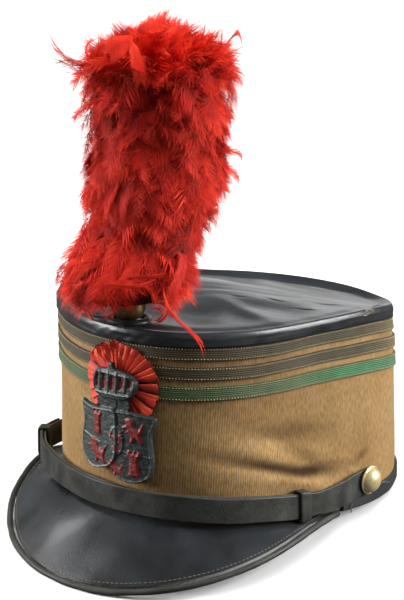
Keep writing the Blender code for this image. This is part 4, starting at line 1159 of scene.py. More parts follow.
class SHAKO_OT_tapes(bpy.types.Operator):
    """Two dark braids and a green one, with two rows of gold stitches on each"""

    bl_idname = "shako.tapes"
    bl_label = "Braids"

    def execute(self, context):
        look = context.scene.shako_cloth
        gold = sewing_thread("Gold silk thread", look.gold_hex)
        angle = turns(540)
        fine = turns(1400)
        for index, (name, width, looks, slot) in enumerate(BRAIDS):
            middle = crown_height(angle) - tape_depth(index) - width / 2
            section = rounded_strip(width, TAPE_THICKNESS, 0.35 * MM, 3, 9)
            cords = 0.10 * MM * np.cos(section[:, 0] / width * 2 * math.pi * 4)
            drift = 0.12 * MM * ripple(*plan(angle, 0.1), seed=30 + index, low=8.0, high=40.0)
            out = section[:, 1] + cords * (section[:, 1] > TAPE_THICKNESS * 0.9)
            height = middle[:, None] + section[:, 0] + drift[:, None]
            points = wall(angle[:, None], height, GAP + out[None, :])
            around, across = np.broadcast_arrays(MEAN_RADIUS * angle[:, None], section[:, 0] + width / 2)
            braid = mohair_braid(name.replace("tape", "Mohair braid"), *looks, width)
            uv = np.stack([around, across], -1)
            swept(name + "_braid", points, braid, closed=True, node=name, slot=slot, uv=uv)
            line = middle + drift
            line = np.interp(fine, np.append(angle, 2 * math.pi), np.append(line, line[0]))
            edges = [line + side * (width / 2 - 0.9 * MM) for side in (-1.0, 1.0)]
            lines = [(*wall_line(fine, edge, GAP + TAPE_THICKNESS), True) for edge in edges]
            stitches(
                name + "_stitches", lines, gold,
                look.stitch_pitch, look.stitch_length, 0.5 * MM, 0.5 * MM, 0.16,
            )
        return {"FINISHED"}


def soft_edge(section, width):
    """How near each point of a section lies to a cut edge, from 0 to 1."""
    return smooth_step(np.abs(section[:, 0]) * 2 / width, 0.93, 1.0)


class SHAKO_OT_back_band(bpy.types.Operator):
    """Leather band along the base of the back"""

    bl_idname = "shako.back_band"
    bl_label = "Back band"

    def execute(self, context):
        angle = np.radians(np.linspace(*BACK_BAND_ENDS, 300))
        width = BACK_BAND_WIDTH - GAP
        section = rounded_strip(width, BACK_BAND_THICKNESS, 0.5 * MM, 4, 5)
        low = base_height(angle)
        x, y = plan(angle, 0.0)
        swell = 0.22 * MM * ripple(x, y, seed=12, low=10.0, high=50.0)
        edge = 0.3 * MM * ripple(x, y, seed=13, low=8.0, high=40.0)
        rise = section[None, :, 0] + width / 2
        height = low[:, None] + GAP + rise + edge[:, None] * (rise / width)
        out = GAP + section[None, :, 1] + swell[:, None] * (section[None, :, 1] > 0.4 * MM)
        points = wall(angle[:, None], height, out)
        marks = {"edge": np.tile(soft_edge(section, width) * 0.4, (len(angle), 1))}
        leather = patent_leather("Worn black band leather", streaks=(1.0, 1.0, 0.4), dull=0.2, coat=0.7)
        swept("back_band_leather", points, leather, node="back_band", slot="black_leather", marks=marks)
        return {"FINISHED"}


def visor_edge(share, inset=0.0):
    turn = np.radians(VISOR_TURN + VISOR_SPAN * share)
    reach = VISOR_REACH * between(VISOR_FORM, share, 1)
    slope = np.radians(VISOR_SLOPE + VISOR_SIDE_SLOPE * share**2)
    base = wall(turn, base_height(turn))
    nx, ny = plan_normal(turn, base[..., 2])
    run = np.maximum(reach - inset, VISOR_LEAST_RUN)
    along = run * np.cos(slope)
    height = np.maximum(base[..., 2] - run * np.sin(slope), BINDING_REST)
    return np.stack([base[..., 0] + nx * along, base[..., 1] + ny * along, height], -1)


def visor_sheet(share, depth):
    """The visor's top face from its seam at depth 0 to its bound edge at depth 1."""
    turn = np.radians(VISOR_TURN + VISOR_SPAN * share)
    inner = wall(turn, base_height(turn) + VISOR_SEAM_RISE * (1 - share**4), VISOR_SEAM_GAP)
    outer = visor_edge(share, BINDING_SEAT)
    point = inner + (outer - inner) * depth
    width = np.linalg.norm(outer - inner, axis=-1)
    point[..., 2] += VISOR_ARCH * width * np.sin(np.pi * depth[..., 0]) + VISOR_THICKNESS / 2 * depth[..., 0]
    return point


def sheet_normals(points):
    """Directions that stand upright on a sheet of points, upwards on the whole."""
    normal = unit(np.cross(np.gradient(points, axis=0), np.gradient(points, axis=1)))
    return normal * np.where(normal[..., 2:].mean() < 0, -1.0, 1.0)


class SHAKO_OT_visor(bpy.types.Operator):
    """Patent leather visor with its rolled, stitched edge"""

    bl_idname = "shako.visor"
    bl_label = "Visor"

    def execute(self, context):
        share = VISOR_SHEET_END * np.linspace(-1.0, 1.0, 260)[:, None]
        depth = np.linspace(0.0, 1.0, 40)[None, :, None]
        top = visor_sheet(share, depth)
        normal = sheet_normals(top)
        wobble = ripple(top[..., 0], top[..., 1], seed=41, low=9.0, high=40.0)[..., None]
        top = top + normal * wobble * 0.22 * MM * np.sin(np.pi * depth)
        low = top[:, ::8] - normal[:, ::8] * VISOR_THICKNESS
        points = np.concatenate([top, low[:, ::-1]], 1)
        leather = patent_leather("Black patent visor leather", streaks=(1.0, 1.0, 1.0), dull=0.05)
        swept("visor_leather", points, leather, node="visor", slot="patent_leather", sharp=50)
        self.edge_roll()
        self.edge_stitches()
        return {"FINISHED"}

    def edge_roll(self):
        """The rolled leather round the visor's free edge, thinner at both ends."""
        radius = BINDING_DIAMETER / 2
        path = visor_edge(np.linspace(-1.0, 1.0, 320), radius)
        path[:, 2] = np.maximum(path[:, 2], BINDING_REST)
        size = radius * (1.0 + 0.07 * ripple(path[:, 0], path[:, 1], seed=44, low=15.0, high=90.0))
        size[[0, -1]] = radius * 0.4
        size[[1, -2]] = radius * 0.8
        points = tube_rings(path, size, 14, (0.0, 0.0, 1.0))
        points[..., 2] = np.maximum(points[..., 2], 0.02 * MM)
        leather = bridle_leather("Black rolled edge leather", 0.42)
        swept("visor_edge_roll", points, leather, node="visor_binding", slot="black_leather")

    def edge_stitches(self):
        """One row of stitches on the visor's top, beside the roll."""
        share = np.linspace(-0.93, 0.93, 700)[:, None]
        edge, behind = (visor_sheet(share, np.full((1, 1, 1), depth))[:, 0] for depth in (1.0, 0.94))
        outward = unit(np.cross(np.gradient(edge, axis=0), edge - behind))
        outward *= np.where(outward[:, 2:] < 0, -1.0, 1.0)
        line = edge + unit(behind - edge) * 1.6 * MM + outward * 0.1 * MM
        thread = sewing_thread("Black waxed thread", "3C3A38")
        stitches(
            "visor_stitches", [(line, outward, False)], thread,
            2.4 * MM, 1.7 * MM, 0.55 * MM, 0.45 * MM, 0.06,
        )


def strap_middle(angle):
    lift = between(STRAP_RUN, signed_degrees(angle), 1)
    return base_height(angle) + lift * STRAP_WIDTH


def strap_offset(angle, layer):
    degrees = signed_degrees(angle)
    stand = between(STRAP_RUN, degrees, 2) * STRAP_STANDOFF
    ends = smooth_step(np.abs(degrees), *STRAP_SETTLE_ANGLES)
    clearance = STRAP_CLEARANCE + (GAP + LEATHER - STRAP_CLEARANCE) * ends
    return clearance + stand + layer * (STRAP_THICKNESS + GAP)


def strap_layer(name, layer, degrees, low_edge, high_edge, seed, leather):
    """One layer of the strap, between two edges given as shares of its width."""
    angle = np.radians(degrees)
    strip = 1.0 * MM
    section = rounded_strip(strip, STRAP_THICKNESS, 0.55 * MM, 4, 7)
    away = np.abs(section[:, 0])
    low, high = low_edge * STRAP_WIDTH, high_edge * STRAP_WIDTH
    # Each half of the narrow section moves out to its own edge, so the corners keep their true radius.
    across = np.where(section[:, 0] > 0, 1.0, -1.0) * ((high - low)[:, None] / 2 + away - strip / 2)
    centre = (strap_middle(angle) + (low + high) / 2)[:, None]
    wobble = 0.25 * MM * ripple(*plan(angle, 0.02), seed=seed, low=8.0, high=30.0)[:, None]
    rounding = np.clip(away / (strip / 2), 0, 1)
    cup = 0.25 * MM * rounding**2 * (section[:, 1] > 0.7 * MM)
    out = strap_offset(angle, layer)[:, None] + section[:, 1] - cup
    points = wall(angle[:, None], centre + across + wobble, out)
    marks = {"edge": np.tile(smooth_step(rounding, 0.84, 0.98) * 0.85, (len(angle), 1))}
    return swept(name, points, leather, node=name.replace("_leather", ""), slot="black_leather", marks=marks)


class SHAKO_OT_strap(bpy.types.Operator):
    """Leather chin strap: a long band, a shorter one lying over it, and two keepers"""

    bl_idname = "shako.strap"
    bl_label = "Chin strap"

    def execute(self, context):
        leather = bridle_leather("Black strap leather", 0.42)
        degrees = np.linspace(-STRAP_END_ANGLE, STRAP_END_ANGLE, 380)
        end = np.clip((STRAP_END_ANGLE - np.abs(degrees)) / STRAP_END_ROUNDING, 0.0, 1.0)
        half = 0.3 + 0.2 * np.sqrt(end)
        strap_layer("chin_strap_leather", 0, degrees, -half, half, 50, leather)
        degrees = np.linspace(OVERLAP_FAR_END, OVERLAP_NEAR_END, 300)
        point = smooth_step(OVERLAP_NEAR_END - degrees, -2.0, OVERLAP_POINT)
        high = -0.5 + np.maximum(point, 0.12)
        strap_layer("strap_overlap_leather", 1, degrees, -0.5 + 0 * high, high, 51, leather)
        for name, place in KEEPER_ANGLES.items():
            self.keeper(name, place, leather)
        return {"FINISHED"}

    def keeper(self, name, degrees, leather):
        """A loop of leather with nearly square corners round both layers."""
        strip = rounded_strip(KEEPER_WIDTH, KEEPER_THICKNESS, 0.4 * MM, 3, 3)
        angle = math.radians(degrees) + strip[:, 0] / MEAN_RADIUS
        turn = 2 * math.pi * np.arange(KEEPER_STEPS)[:, None] / KEEPER_STEPS
        out, rise = (
            np.copysign(np.abs(side) ** KEEPER_SQUARENESS, side) for side in (np.cos(turn), np.sin(turn))
        )
        depth = 2 * STRAP_THICKNESS + GAP
        reach = KEEPER_CLEARANCE + strip[:, 1]
        points = wall(
            angle + 0 * turn,
            strap_middle(angle) + rise * (STRAP_WIDTH / 2 + reach),
            strap_offset(angle, 0) + depth / 2 + out * (depth / 2 + reach),
        )
        marks = {"edge": np.tile(soft_edge(strip, KEEPER_WIDTH) * 0.6, (KEEPER_STEPS, 1))}
        swept(name + "_leather", points, leather, closed=True, node=name, slot="black_leather", marks=marks)


def wall_frame(angle, height, offset):
    """A frame on the wall whose Z axis points outwards."""
    nx, ny = plan_normal(angle, height)
    return frame_along(Vector(wall(angle, height, offset)), Vector((nx, ny, 0.0)))


class SHAKO_OT_buttons(bpy.types.Operator):
    """Domed brass buttons that hold the strap's ends"""

    bl_idname = "shako.buttons"
    bl_label = "Buttons"

    def execute(self, context):
        metal = brass("Polished stamped brass", context.scene.shako_metal.brass_hex, "A58148", 0.3, 0.5, 0.3)
        radius, thickness = BUTTON_DIAMETER / 2, BUTTON_FLANGE + BUTTON_DOME
        dome_radius, dome_foot = radius * 0.86, BUTTON_FLANGE * 0.8
        dome_rise = thickness - dome_foot
        profile = [
            (0.0, 0.0),
            (radius * 0.97, 0.0),
            (radius, 0.3 * BUTTON_FLANGE),
            (radius, 0.7 * BUTTON_FLANGE),
            (radius * 0.97, BUTTON_FLANGE),
            (radius * 0.9, BUTTON_FLANGE * 1.02),
            (dome_radius, dome_foot),
        ]
        for k in range(1, 14):
            turn = math.pi / 2 * k / 14
            profile.append((dome_radius * math.cos(turn), dome_foot + dome_rise * math.sin(turn)))
        profile.append((0.0, thickness))
        for name, side in (("button_left", 1.0), ("button_right", -1.0)):
            low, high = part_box(name)
            outer = high[0] if side > 0 else -low[0]
            angle = math.radians(side * BUTTON_ANGLE)
            height = base_height(np.array(angle)) + BUTTON_LIFT
            reach = (outer - abs(wall(angle, height)[0])) / abs(plan_normal(angle, height)[0]) - thickness
            seat = wall_frame(angle, height, reach)
            turned(name + "_dome", profile, 48, seat, metal, node=name, slot="polished_brass", sharp=50)
        return {"FINISHED"}


def crown_point(x, y):
    """A point of the crown's top at a place near the front ridge."""
    ridge = wall(0.0, crown_height(0.0))
    return np.array([x, y, crown_top_height(x, y, ridge[2], y / ridge[1])])


def socket_place():
    ridge = wall(0.0, crown_height(0.0))
    return crown_point(SOCKET_X, ridge[1] + SOCKET_INSET)


def plume_axis(share):
    """The plume's middle line, from the socket to its tip."""
    lean = between(PLUME_FORM, share, 2)
    foot = socket_place() + np.array([0.0, 0.0, COLLAR_HEIGHT])
    return foot + np.stack([PLUME_LEAN_X * lean, PLUME_LEAN_Y * lean, PLUME_HEIGHT * np.asarray(share)], -1)


def bowl_section(radius, foot, steps):
    """The section of a bowl, from beside its lowest point up to its side."""
    turns_up = [math.pi / 2 * k / steps for k in range(1, steps + 1)]
    return [(radius * math.sin(turn), foot + radius * 0.8 * (1 - math.cos(turn))) for turn in turns_up]


class SHAKO_OT_socket(bpy.types.Operator):
    """Brass cup that holds the plume, on its leather collar"""

    bl_idname = "shako.socket"
    bl_label = "Plume socket"

    def execute(self, context):
        metal = brass("Aged spun brass", context.scene.shako_metal.cup_hex, "54452A", 0.32, 0.56, 0.36)
        radius = SOCKET_DIAMETER / 2
        inside = radius - SOCKET_WALL
        foot = -COLLAR_HEIGHT * 0.6
        profile = [
            (0.0, foot),
            *bowl_section(radius, foot, 12),
            (radius, SOCKET_HEIGHT - SOCKET_WALL),
            (radius + 0.25 * MM, SOCKET_HEIGHT - SOCKET_WALL * 0.5),
            (radius + 0.1 * MM, SOCKET_HEIGHT),
            (inside, SOCKET_HEIGHT),
            *bowl_section(inside, SOCKET_WALL + foot, 8)[::-1],
            (0.0, SOCKET_WALL + foot),
        ]
        here = frame_along(Vector(plume_axis(0.0)), (SOCKET_SLOPE_X, SOCKET_SLOPE_Y, 1.0))
        turned("socket_cup", profile, 56, here, metal, node="plume_socket", slot="aged_brass", sharp=50)
        self.collar(radius * 0.82 + GAP)
        return {"FINISHED"}

    def collar(self, hole):
        """The leather lip round the cup's foot, uneven on its outer side."""
        turn = turns(72)[:, None]
        bulge = 1.0 + 0.06 * np.sin(3 * turn + 1.0) + 0.04 * np.sin(7 * turn)
        arc = math.pi * np.arange(12) / 11
        out = 0.5 - 0.5 * np.cos(arc)
        reach = hole + COLLAR_WIDTH * out * np.where(out > 0.5, bulge, 1.0)
        height = COLLAR_HEIGHT * np.sin(arc) ** 0.8 * (0.9 + 0.1 * bulge)
        place = Vector(socket_place()) + Vector((0, 0, COLLAR_CLEARANCE))
        lie = frame_along(place, Vector((-CROWN_CANT, CROWN_SLOPE, 1.0)))
        rings = np.stack([reach * np.cos(turn), reach * np.sin(turn), height], -1)
        points = rings @ np.array(lie.to_3x3()).T + np.array(lie.translation)
        leather = bridle_leather("Black collar leather", 0.3)
        swept("collar_leather", points, leather, closed=True, node="socket_collar", slot="black_leather")


# Plume

PLUME_FACE = 31.0  # plan angle in degrees of the plume's fullest side
TUFTS = 146
TUFT_FEATHERS = 6
UNDER_FEATHERS = 150
CREST_FEATHERS = 90
WISPS = 1500
DROOP = (
    # share of the plume's height at the feather's tip, slope of the feather in degrees
    (-0.05, -80.0),
    (0.10, -56.0),
    (0.20, -48.0),
    (0.30, -64.0),
    (0.50, -64.0),
    (0.66, -58.0),
    (0.76, -42.0),
    (0.85, -8.0),
    (0.93, 35.0),
    (1.00, 66.0),
)
# Gaps where the feathers sink a little and take a darker tint, which is painted shade.
PLUME_GAPS = (
    # across from the plume's middle in mm, share of the height, size across and up in mm, depth
    ("valley_by_hanging_feather", -4.0, 0.82, 5.0, 16.0, 1.0),
    ("valley_left_of_it", -17.0, 0.70, 5.0, 20.0, 0.7),
    ("hollow_in_middle", 3.0, 0.60, 7.0, 9.0, 0.8),
    ("gap_left_low", -24.0, 0.45, 4.0, 5.0, 0.9),
    ("gap_left_lower", -14.0, 0.42, 5.0, 4.0, 0.8),
    ("gap_low_middle", -5.0, 0.29, 5.0, 5.0, 0.9),
    ("gap_in_left_skirt", -23.0, 0.11, 6.0, 7.0, 0.8),
    ("gap_over_cup", 8.0, 0.08, 5.0, 7.0, 0.8),
    ("shade_at_left_edge", -34.0, 0.62, 4.0, 12.0, 0.5),
)
HACKLES = (
    # name, kind of feather, half width in mm, tint,
    # points: across in mm, share of the height, towards the viewer in mm
    ("long_hackle_upper_left", 1, 2.8, 0.95,
     ((-18.0, 0.915, 20.0), (-30.0, 0.905, 24.0), (-39.0, 0.918, 24.0), (-48.0, 0.965, 20.0),
      (-53.0, 1.04, 14.0))),
    ("split_hackle_left", 0, 4.6, 0.9,
     ((-20.0, 0.93, 22.0), (-31.0, 0.915, 26.0), (-39.0, 0.87, 25.0), (-44.0, 0.815, 22.0))),
    ("split_hackle_left_low", 0, 3.2, 0.8,
     ((-24.0, 0.80, 20.0), (-34.0, 0.77, 22.0), (-39.5, 0.735, 20.0), (-42.0, 0.70, 16.0))),
    ("curl_a", 1, 2.0, 0.85,
     ((-31.0, 0.915, 18.0), (-34.0, 0.95, 20.0), (-32.0, 0.985, 18.0), (-24.0, 1.005, 14.0))),
    ("curl_b", 1, 1.6, 0.8,
     ((-28.0, 0.92, 20.0), (-30.0, 0.955, 21.0), (-27.0, 0.98, 20.0), (-21.0, 0.99, 16.0))),
    ("curl_c", 1, 1.4, 0.8,
     ((-24.0, 0.92, 22.0), (-25.0, 0.95, 23.0), (-23.0, 0.97, 22.0), (-18.0, 0.98, 18.0))),
    ("oval_vane", 5, 6.0, 0.82,
     ((-12.0, 1.015, 24.0), (-16.0, 1.0, 30.0), (-21.0, 0.975, 33.0), (-25.0, 0.945, 33.0))),
    ("hanging_feather", 4, 3.9, 1.0,
     ((-13.0, 1.01, 28.0), (-10.5, 0.96, 35.0), (-9.0, 0.90, 38.0), (-8.5, 0.845, 38.0))),
    ("corner_feather", 0, 5.0, 0.85,
     ((16.0, 0.86, 12.0), (26.0, 0.90, 12.0), (32.0, 0.94, 10.0), (36.0, 0.972, 8.0))),
    ("corner_curl", 1, 2.2, 0.85,
     ((27.0, 0.92, 8.0), (33.0, 0.955, 8.0), (37.5, 0.985, 6.0), (39.5, 0.95, 4.0), (39.5, 0.90, 4.0))),
    ("right_curl_a", 1, 2.8, 0.9,
     ((26.0, 0.60, 8.0), (34.0, 0.58, 8.0), (40.0, 0.57, 6.0), (42.0, 0.545, 4.0), (39.5, 0.53, 4.0))),
    ("right_curl_b", 0, 4.6, 0.95,
     ((27.0, 0.56, 8.0), (35.0, 0.52, 8.0), (40.0, 0.48, 6.0), (40.5, 0.435, 4.0))),
    ("right_hook", 1, 1.4, 0.7,
     ((28.0, 0.60, 8.0), (33.0, 0.595, 8.0), (38.5, 0.583, 6.0))),
    ("middle_vane_over_cup", 3, 5.0, 0.62,
     ((-4.0, 0.33, 28.0), (-3.0, 0.26, 34.0), (-3.5, 0.19, 36.0), (-3.0, 0.135, 33.0))),
    ("second_vane_over_cup", 0, 4.5, 0.66,
     ((-10.0, 0.34, 26.0), (-12.0, 0.27, 33.0), (-13.0, 0.20, 36.0), (-12.5, 0.14, 34.0))),
    ("vane_right_of_cup", 3, 4.2, 0.6,
     ((15.0, 0.30, 22.0), (20.0, 0.24, 28.0), (23.0, 0.17, 30.0), (22.0, 0.10, 28.0))),
    ("long_strand", 1, 1.5, 0.9,
     ((16.0, 0.19, 30.0), (22.0, 0.12, 36.0), (29.0, 0.065, 37.0), (35.0, 0.0, 36.0), (37.5, -0.085, 34.0))),
    ("lying_strand_a", 1, 1.6, 0.85,
     ((-20.0, 0.20, 32.0), (-8.0, 0.205, 38.0), (4.0, 0.20, 38.0), (14.0, 0.21, 32.0))),
    ("lying_strand_b", 1, 1.2, 0.7,
     ((-12.0, 0.215, 34.0), (-2.0, 0.222, 37.0), (8.0, 0.225, 36.0), (18.0, 0.215, 28.0))),
    ("small_curl_low_a", 1, 1.0, 0.7,
     ((12.0, 0.13, 32.0), (18.0, 0.14, 34.0), (22.0, 0.11, 33.0), (18.0, 0.07, 33.0), (11.0, 0.08, 33.0))),
    ("small_curl_low_b", 1, 0.9, 0.6,
     ((13.0, 0.115, 32.0), (17.0, 0.12, 34.0), (19.5, 0.10, 34.0), (17.0, 0.08, 34.0), (13.0, 0.085, 33.0))),
)


def plume_place(across, share, front):
    """A place in the plume from its middle line, as its fullest side is seen."""
    turn = math.radians(PLUME_FACE)
    right = np.array([math.cos(turn), math.sin(turn), 0.0])
    facing = np.array([math.sin(turn), -math.cos(turn), 0.0])
    across, front = np.asarray(across, float)[..., None], np.asarray(front, float)[..., None]
    return plume_axis(share) + right * across + facing * front


def feather_form(seed, barbs, looseness, narrow):
    """Points, faces and marks of one feather, of unit length along Y and unit half width."""
    random = np.random.default_rng(seed)
    bow = random.uniform(0.02, 0.10)
    flick = random.uniform(-0.12, 0.10)
    bend = random.uniform(-0.5, 0.5)
    points, faces, strand, reach = [], [], [], []

    for side in (-1.0, 1.0):
        for k in range(barbs):
            root = 0.04 + 0.92 * (k + random.uniform(-0.3, 0.3) * looseness) / barbs
            spread = np.interp(root, (0.0, 0.12, 0.5, 0.8, 0.94, 1.0), (0.5, 0.85, 1.0, 0.92, 0.7, 0.3))
            spread *= 1.0 + random.uniform(-0.3, 0.1) * looseness
            forward = (0.22 + 0.05 * root) * (1.0 + random.uniform(-0.25, 0.25) * looseness) * narrow
            wide = 0.56 / barbs
            lift = random.normal() * 0.025 * looseness
            shade = random.uniform(0, 1)
            start = len(points)
            for share, width in ((0.0, 1.0), (0.62, 0.95)):
                y = root + forward * share**1.35
                for edge in (-1.0, 1.0):
                    points.append((side * spread * share, y + edge * wide * width, lift * share**2))
            points.append((side * spread, root + forward, lift * 1.4))
            strand += [shade] * 5
            reach += [0.0, 0.0, 0.6, 0.6, 1.0]
            faces += [(start, start + 1, start + 3, start + 2), (start + 2, start + 3, start + 4)]
    steps = 7
    start = len(points)
    for k in range(steps):
        y = k / (steps - 1)
        for edge in (-1.0, 1.0):
            points.append((edge * 0.05 * (1 - 0.8 * y), y, 0.008))
    strand += [0.2] * (2 * steps)
    reach += [0.1] * (2 * steps)
    rungs = range(start, start + 2 * steps - 2, 2)
    faces += [(rung, rung + 1, rung + 3, rung + 2) for rung in rungs]
    x, y, lift = np.array(points).T
    y = y / y.max()
    curve = bow * 4 * y * (1 - y) + flick * np.maximum(0.0, y - 0.55) ** 2 * 4 - 0.05 * x * x
    points = np.stack([x + bend * y * y, y, curve + lift], -1)
    return points, faces, np.array(strand), np.array(reach)


def wisp_form(seed, hairs):
    """A tuft of loose down: thin tapering hairs from one root."""
    random = np.random.default_rng(seed)
    points, faces = [], []
    for _ in range(hairs):
        turn = random.normal() * 0.45
        lift = random.normal() * 0.25
        length = random.uniform(0.45, 1.0)
        start = len(points)
        for share, width in ((0.0, 0.012), (0.55, 0.009), (1.0, 0.0)):
            x = math.sin(turn * (0.6 + 0.8 * share)) * length * share
            y = math.cos(turn) * length * share
            z = lift * length * share * share
            for edge in (-1.0, 1.0)[: 1 if width == 0.0 else 2]:
                points.append((x + edge * width, y, z))
        faces += [(start, start + 1, start + 3, start + 2), (start + 2, start + 3, start + 4)]
    strand = np.repeat(random.uniform(0, 1, hairs), 5)
    return np.array(points), faces, strand, np.tile([0.0, 0.0, 0.6, 0.6, 1.0], hairs)


FEATHER_KINDS = (
    # seed, barbs on each side, looseness, forward sweep
    (11, 52, 1.0, 1.0),
    (12, 46, 0.9, 1.5),
    (13, 52, 0.8, 1.2),
    (14, 50, 1.2, 0.9),
    (15, 56, 0.35, 1.1),
    (16, 60, 0.2, 1.2),
)


WISP_KIND = len(FEATHER_KINDS)
WISP_SIZE = 0.42
GOLDEN_TURN = 2.39996


def feather_mesh(name, form, **marks):
    """A mesh of a form, marked with each barb's own shade and how far out on it a point lies."""
    points, faces, strand, reach = form
    mesh = bpy.data.meshes.new(name)
    mesh.from_pydata(points.tolist(), [], faces)
    for label, values in {"strand": strand, "reach": reach, **marks}.items():
        mark(mesh, label, values)
    return mesh


def feather_tree():
    """Feathers set on points that carry their direction, outer side, size, kind and tint."""
    tree, given, result = new_tree(
        "Feathers",
        (
            ("Kinds", "NodeSocketCollection", None),
            ("Length", "NodeSocketFloat", None),
            ("Half width", "NodeSocketFloat", None),
            ("Feather", "NodeSocketMaterial", None),
        ),
    )
    kinds = add_node(
        tree, "GeometryNodeCollectionInfo", {"Collection": given["Kinds"], "Separate Children": True}
    )
    marks = {}
    kinds_of_value = dict.fromkeys(("toward", "outer", "size"), "FLOAT_VECTOR")
    kinds_of_value["kind"] = "INT"
    for label, kind in kinds_of_value.items():
        marks[label] = add_node(
            tree, "GeometryNodeInputNamedAttribute", {"Name": label}, data_type=kind
        ).outputs[0]
    turn = add_node(
        tree,
        "FunctionNodeAxesToRotation",
        {"Primary Axis": marks["toward"], "Secondary Axis": marks["outer"]},
        primary_axis="Y",
        secondary_axis="Z",
    )
    full = add_node(
        tree, "ShaderNodeCombineXYZ", {"X": given["Half width"], "Y": given["Length"], "Z": given["Length"]}
    )
    scale = add_node(
        tree, "ShaderNodeVectorMath", {0: full.outputs[0], 1: marks["size"]}, operation="MULTIPLY"
    )
    grown_here = add_node(
        tree,
        "GeometryNodeInstanceOnPoints",
        {
            "Points": given["Geometry"],
            "Instance": kinds.outputs[0],
            "Pick Instance": True,
            "Instance Index": marks["kind"],
            "Rotation": turn.outputs[0],
            "Scale": scale.outputs[0],
        },
    )
    real = add_node(tree, "GeometryNodeRealizeInstances", {"Geometry": grown_here.outputs[0]})
    coloured = add_node(
        tree, "GeometryNodeSetMaterial", {"Geometry": real.outputs[0], "Material": given["Feather"]}
    )
    tree.links.new(coloured.outputs[0], result.inputs[0])
    return tree


def hackle_feather(look):
    """Dyed hackle: darker towards the barbs' roots, which is painted shade, and brighter and more orange
    towards their ends, which is painted light through the barbs.
    """
    material, tree, shader = new_finish(
        "Dyed scarlet hackle feather", roughness=0.65, specular_ior_level=0.12, sheen_weight=0.1,
        sheen_roughness=0.4,
    )
    shader.inputs["Sheen Tint"].default_value = colour("FF6A4A")
    marks = {
        label: add_node(tree, "ShaderNodeAttribute", attribute_name=label).outputs["Fac"]
        for label in ("tint", "strand", "reach")
    }
    spot = add_node(tree, "ShaderNodeTexCoord").outputs["Object"]
    cloud = add_node(tree, "ShaderNodeTexNoise", {"Vector": spot, "Scale": 45.0, "Detail": 3.0})
    # Painted shade and light: through reach each barb darkens towards its root and brightens towards its end,
    # and the tint carries painted shade in gaps, the middle, the under feathers and the core.
    total = add_node(tree, "ShaderNodeMath", {0: marks["tint"], 1: 0.72}, operation="MULTIPLY")
    for source, share in ((marks["strand"], 0.14), (marks["reach"], 0.26), (cloud.outputs["Fac"], 0.14)):
        total = add_node(
            tree, "ShaderNodeMath", {0: source, 1: share, 2: total.outputs[0]}, operation="MULTIPLY_ADD"
        )
    red = add_node(
        tree, "ShaderNodeValToRGB", {"Fac": total.outputs[0]},
        stops=((0.14, look.shade_hex), (0.44, "7C1711"), (0.76, look.feather_hex), (1.0, look.tip_hex)),
    )
    tree.links.new(red.outputs["Color"], shader.inputs["Base Color"])
    return material


class ShakoPlume(bpy.types.PropertyGroup):
    # The darkest stop is painted shade deep in the plume, and the bright barb ends are painted light.
    feather_hex: hex_setting("Feather", "sRGB hex value of the plume's feathers", "CE2A1E")
    tip_hex: hex_setting("Barb ends", "sRGB hex value of the feathers' bright ends", "EE4028")
    shade_hex: hex_setting("Under feathers", "sRGB hex value deep in the plume", "3A0C0A")
    feather_length: size_setting("Feather length", "Length of the plume's feathers", 30.0, 5.0)
    feather_half_width: size_setting("Feather half width", "Half width of the plume's feathers", 9.5, 1.0)


def tip_places(random):
    """Tips of the plume's feathers in tufts, with how far each tuft stands out and leans."""
    rows = []
    # Each row: share of the height, turn, distance out, lean, slope, tint, kind
    for tuft in range(TUFTS):
        share = 0.004 + 0.996 * (tuft + 0.5) / TUFTS
        turn = tuft * GOLDEN_TURN + random.normal() * 0.12
        stand = -0.03 + random.normal() * 0.025
        lean = random.normal() * 0.38
        slope = random.normal() * 8.0 + (20.0 if random.uniform() < 0.1 else 0.0)
        tint = random.uniform(0.48, 1.0)
        for _ in range(TUFT_FEATHERS):
            rows.append((
                share + random.normal() * 0.022, turn + random.normal() * 0.12,
                0.95 + stand + random.normal() * 0.02, lean + random.normal() * 0.26,
                slope + random.normal() * 5.0, tint + random.normal() * 0.05, random.integers(0, 6),
            ))
    # Under feathers take a low tint: painted shade deep in the plume.
    for _ in range(UNDER_FEATHERS):
        rows.append((
            random.uniform(0.03, 0.95), random.uniform(0, 2 * math.pi), 0.78, random.normal() * 0.2,
            random.normal() * 8.0, random.uniform(0.1, 0.35), random.integers(0, 4),
        ))
    for _ in range(CREST_FEATHERS):
        rows.append((
            random.uniform(0.945, 1.02), random.uniform(0, 2 * math.pi), random.uniform(0.1, 1.75),
            random.normal() * 0.3, random.normal() * 14.0, random.uniform(0.7, 1.0), random.integers(0, 4),
        ))
    for _ in range(WISPS):
        rows.append((
            random.uniform(0.03, 1.0), random.uniform(0, 2 * math.pi), 1.0 + random.normal() * 0.03,
            random.normal() * 0.5, random.normal() * 22.0, random.uniform(0.4, 0.9), WISP_KIND,
        ))
    return np.array(rows)


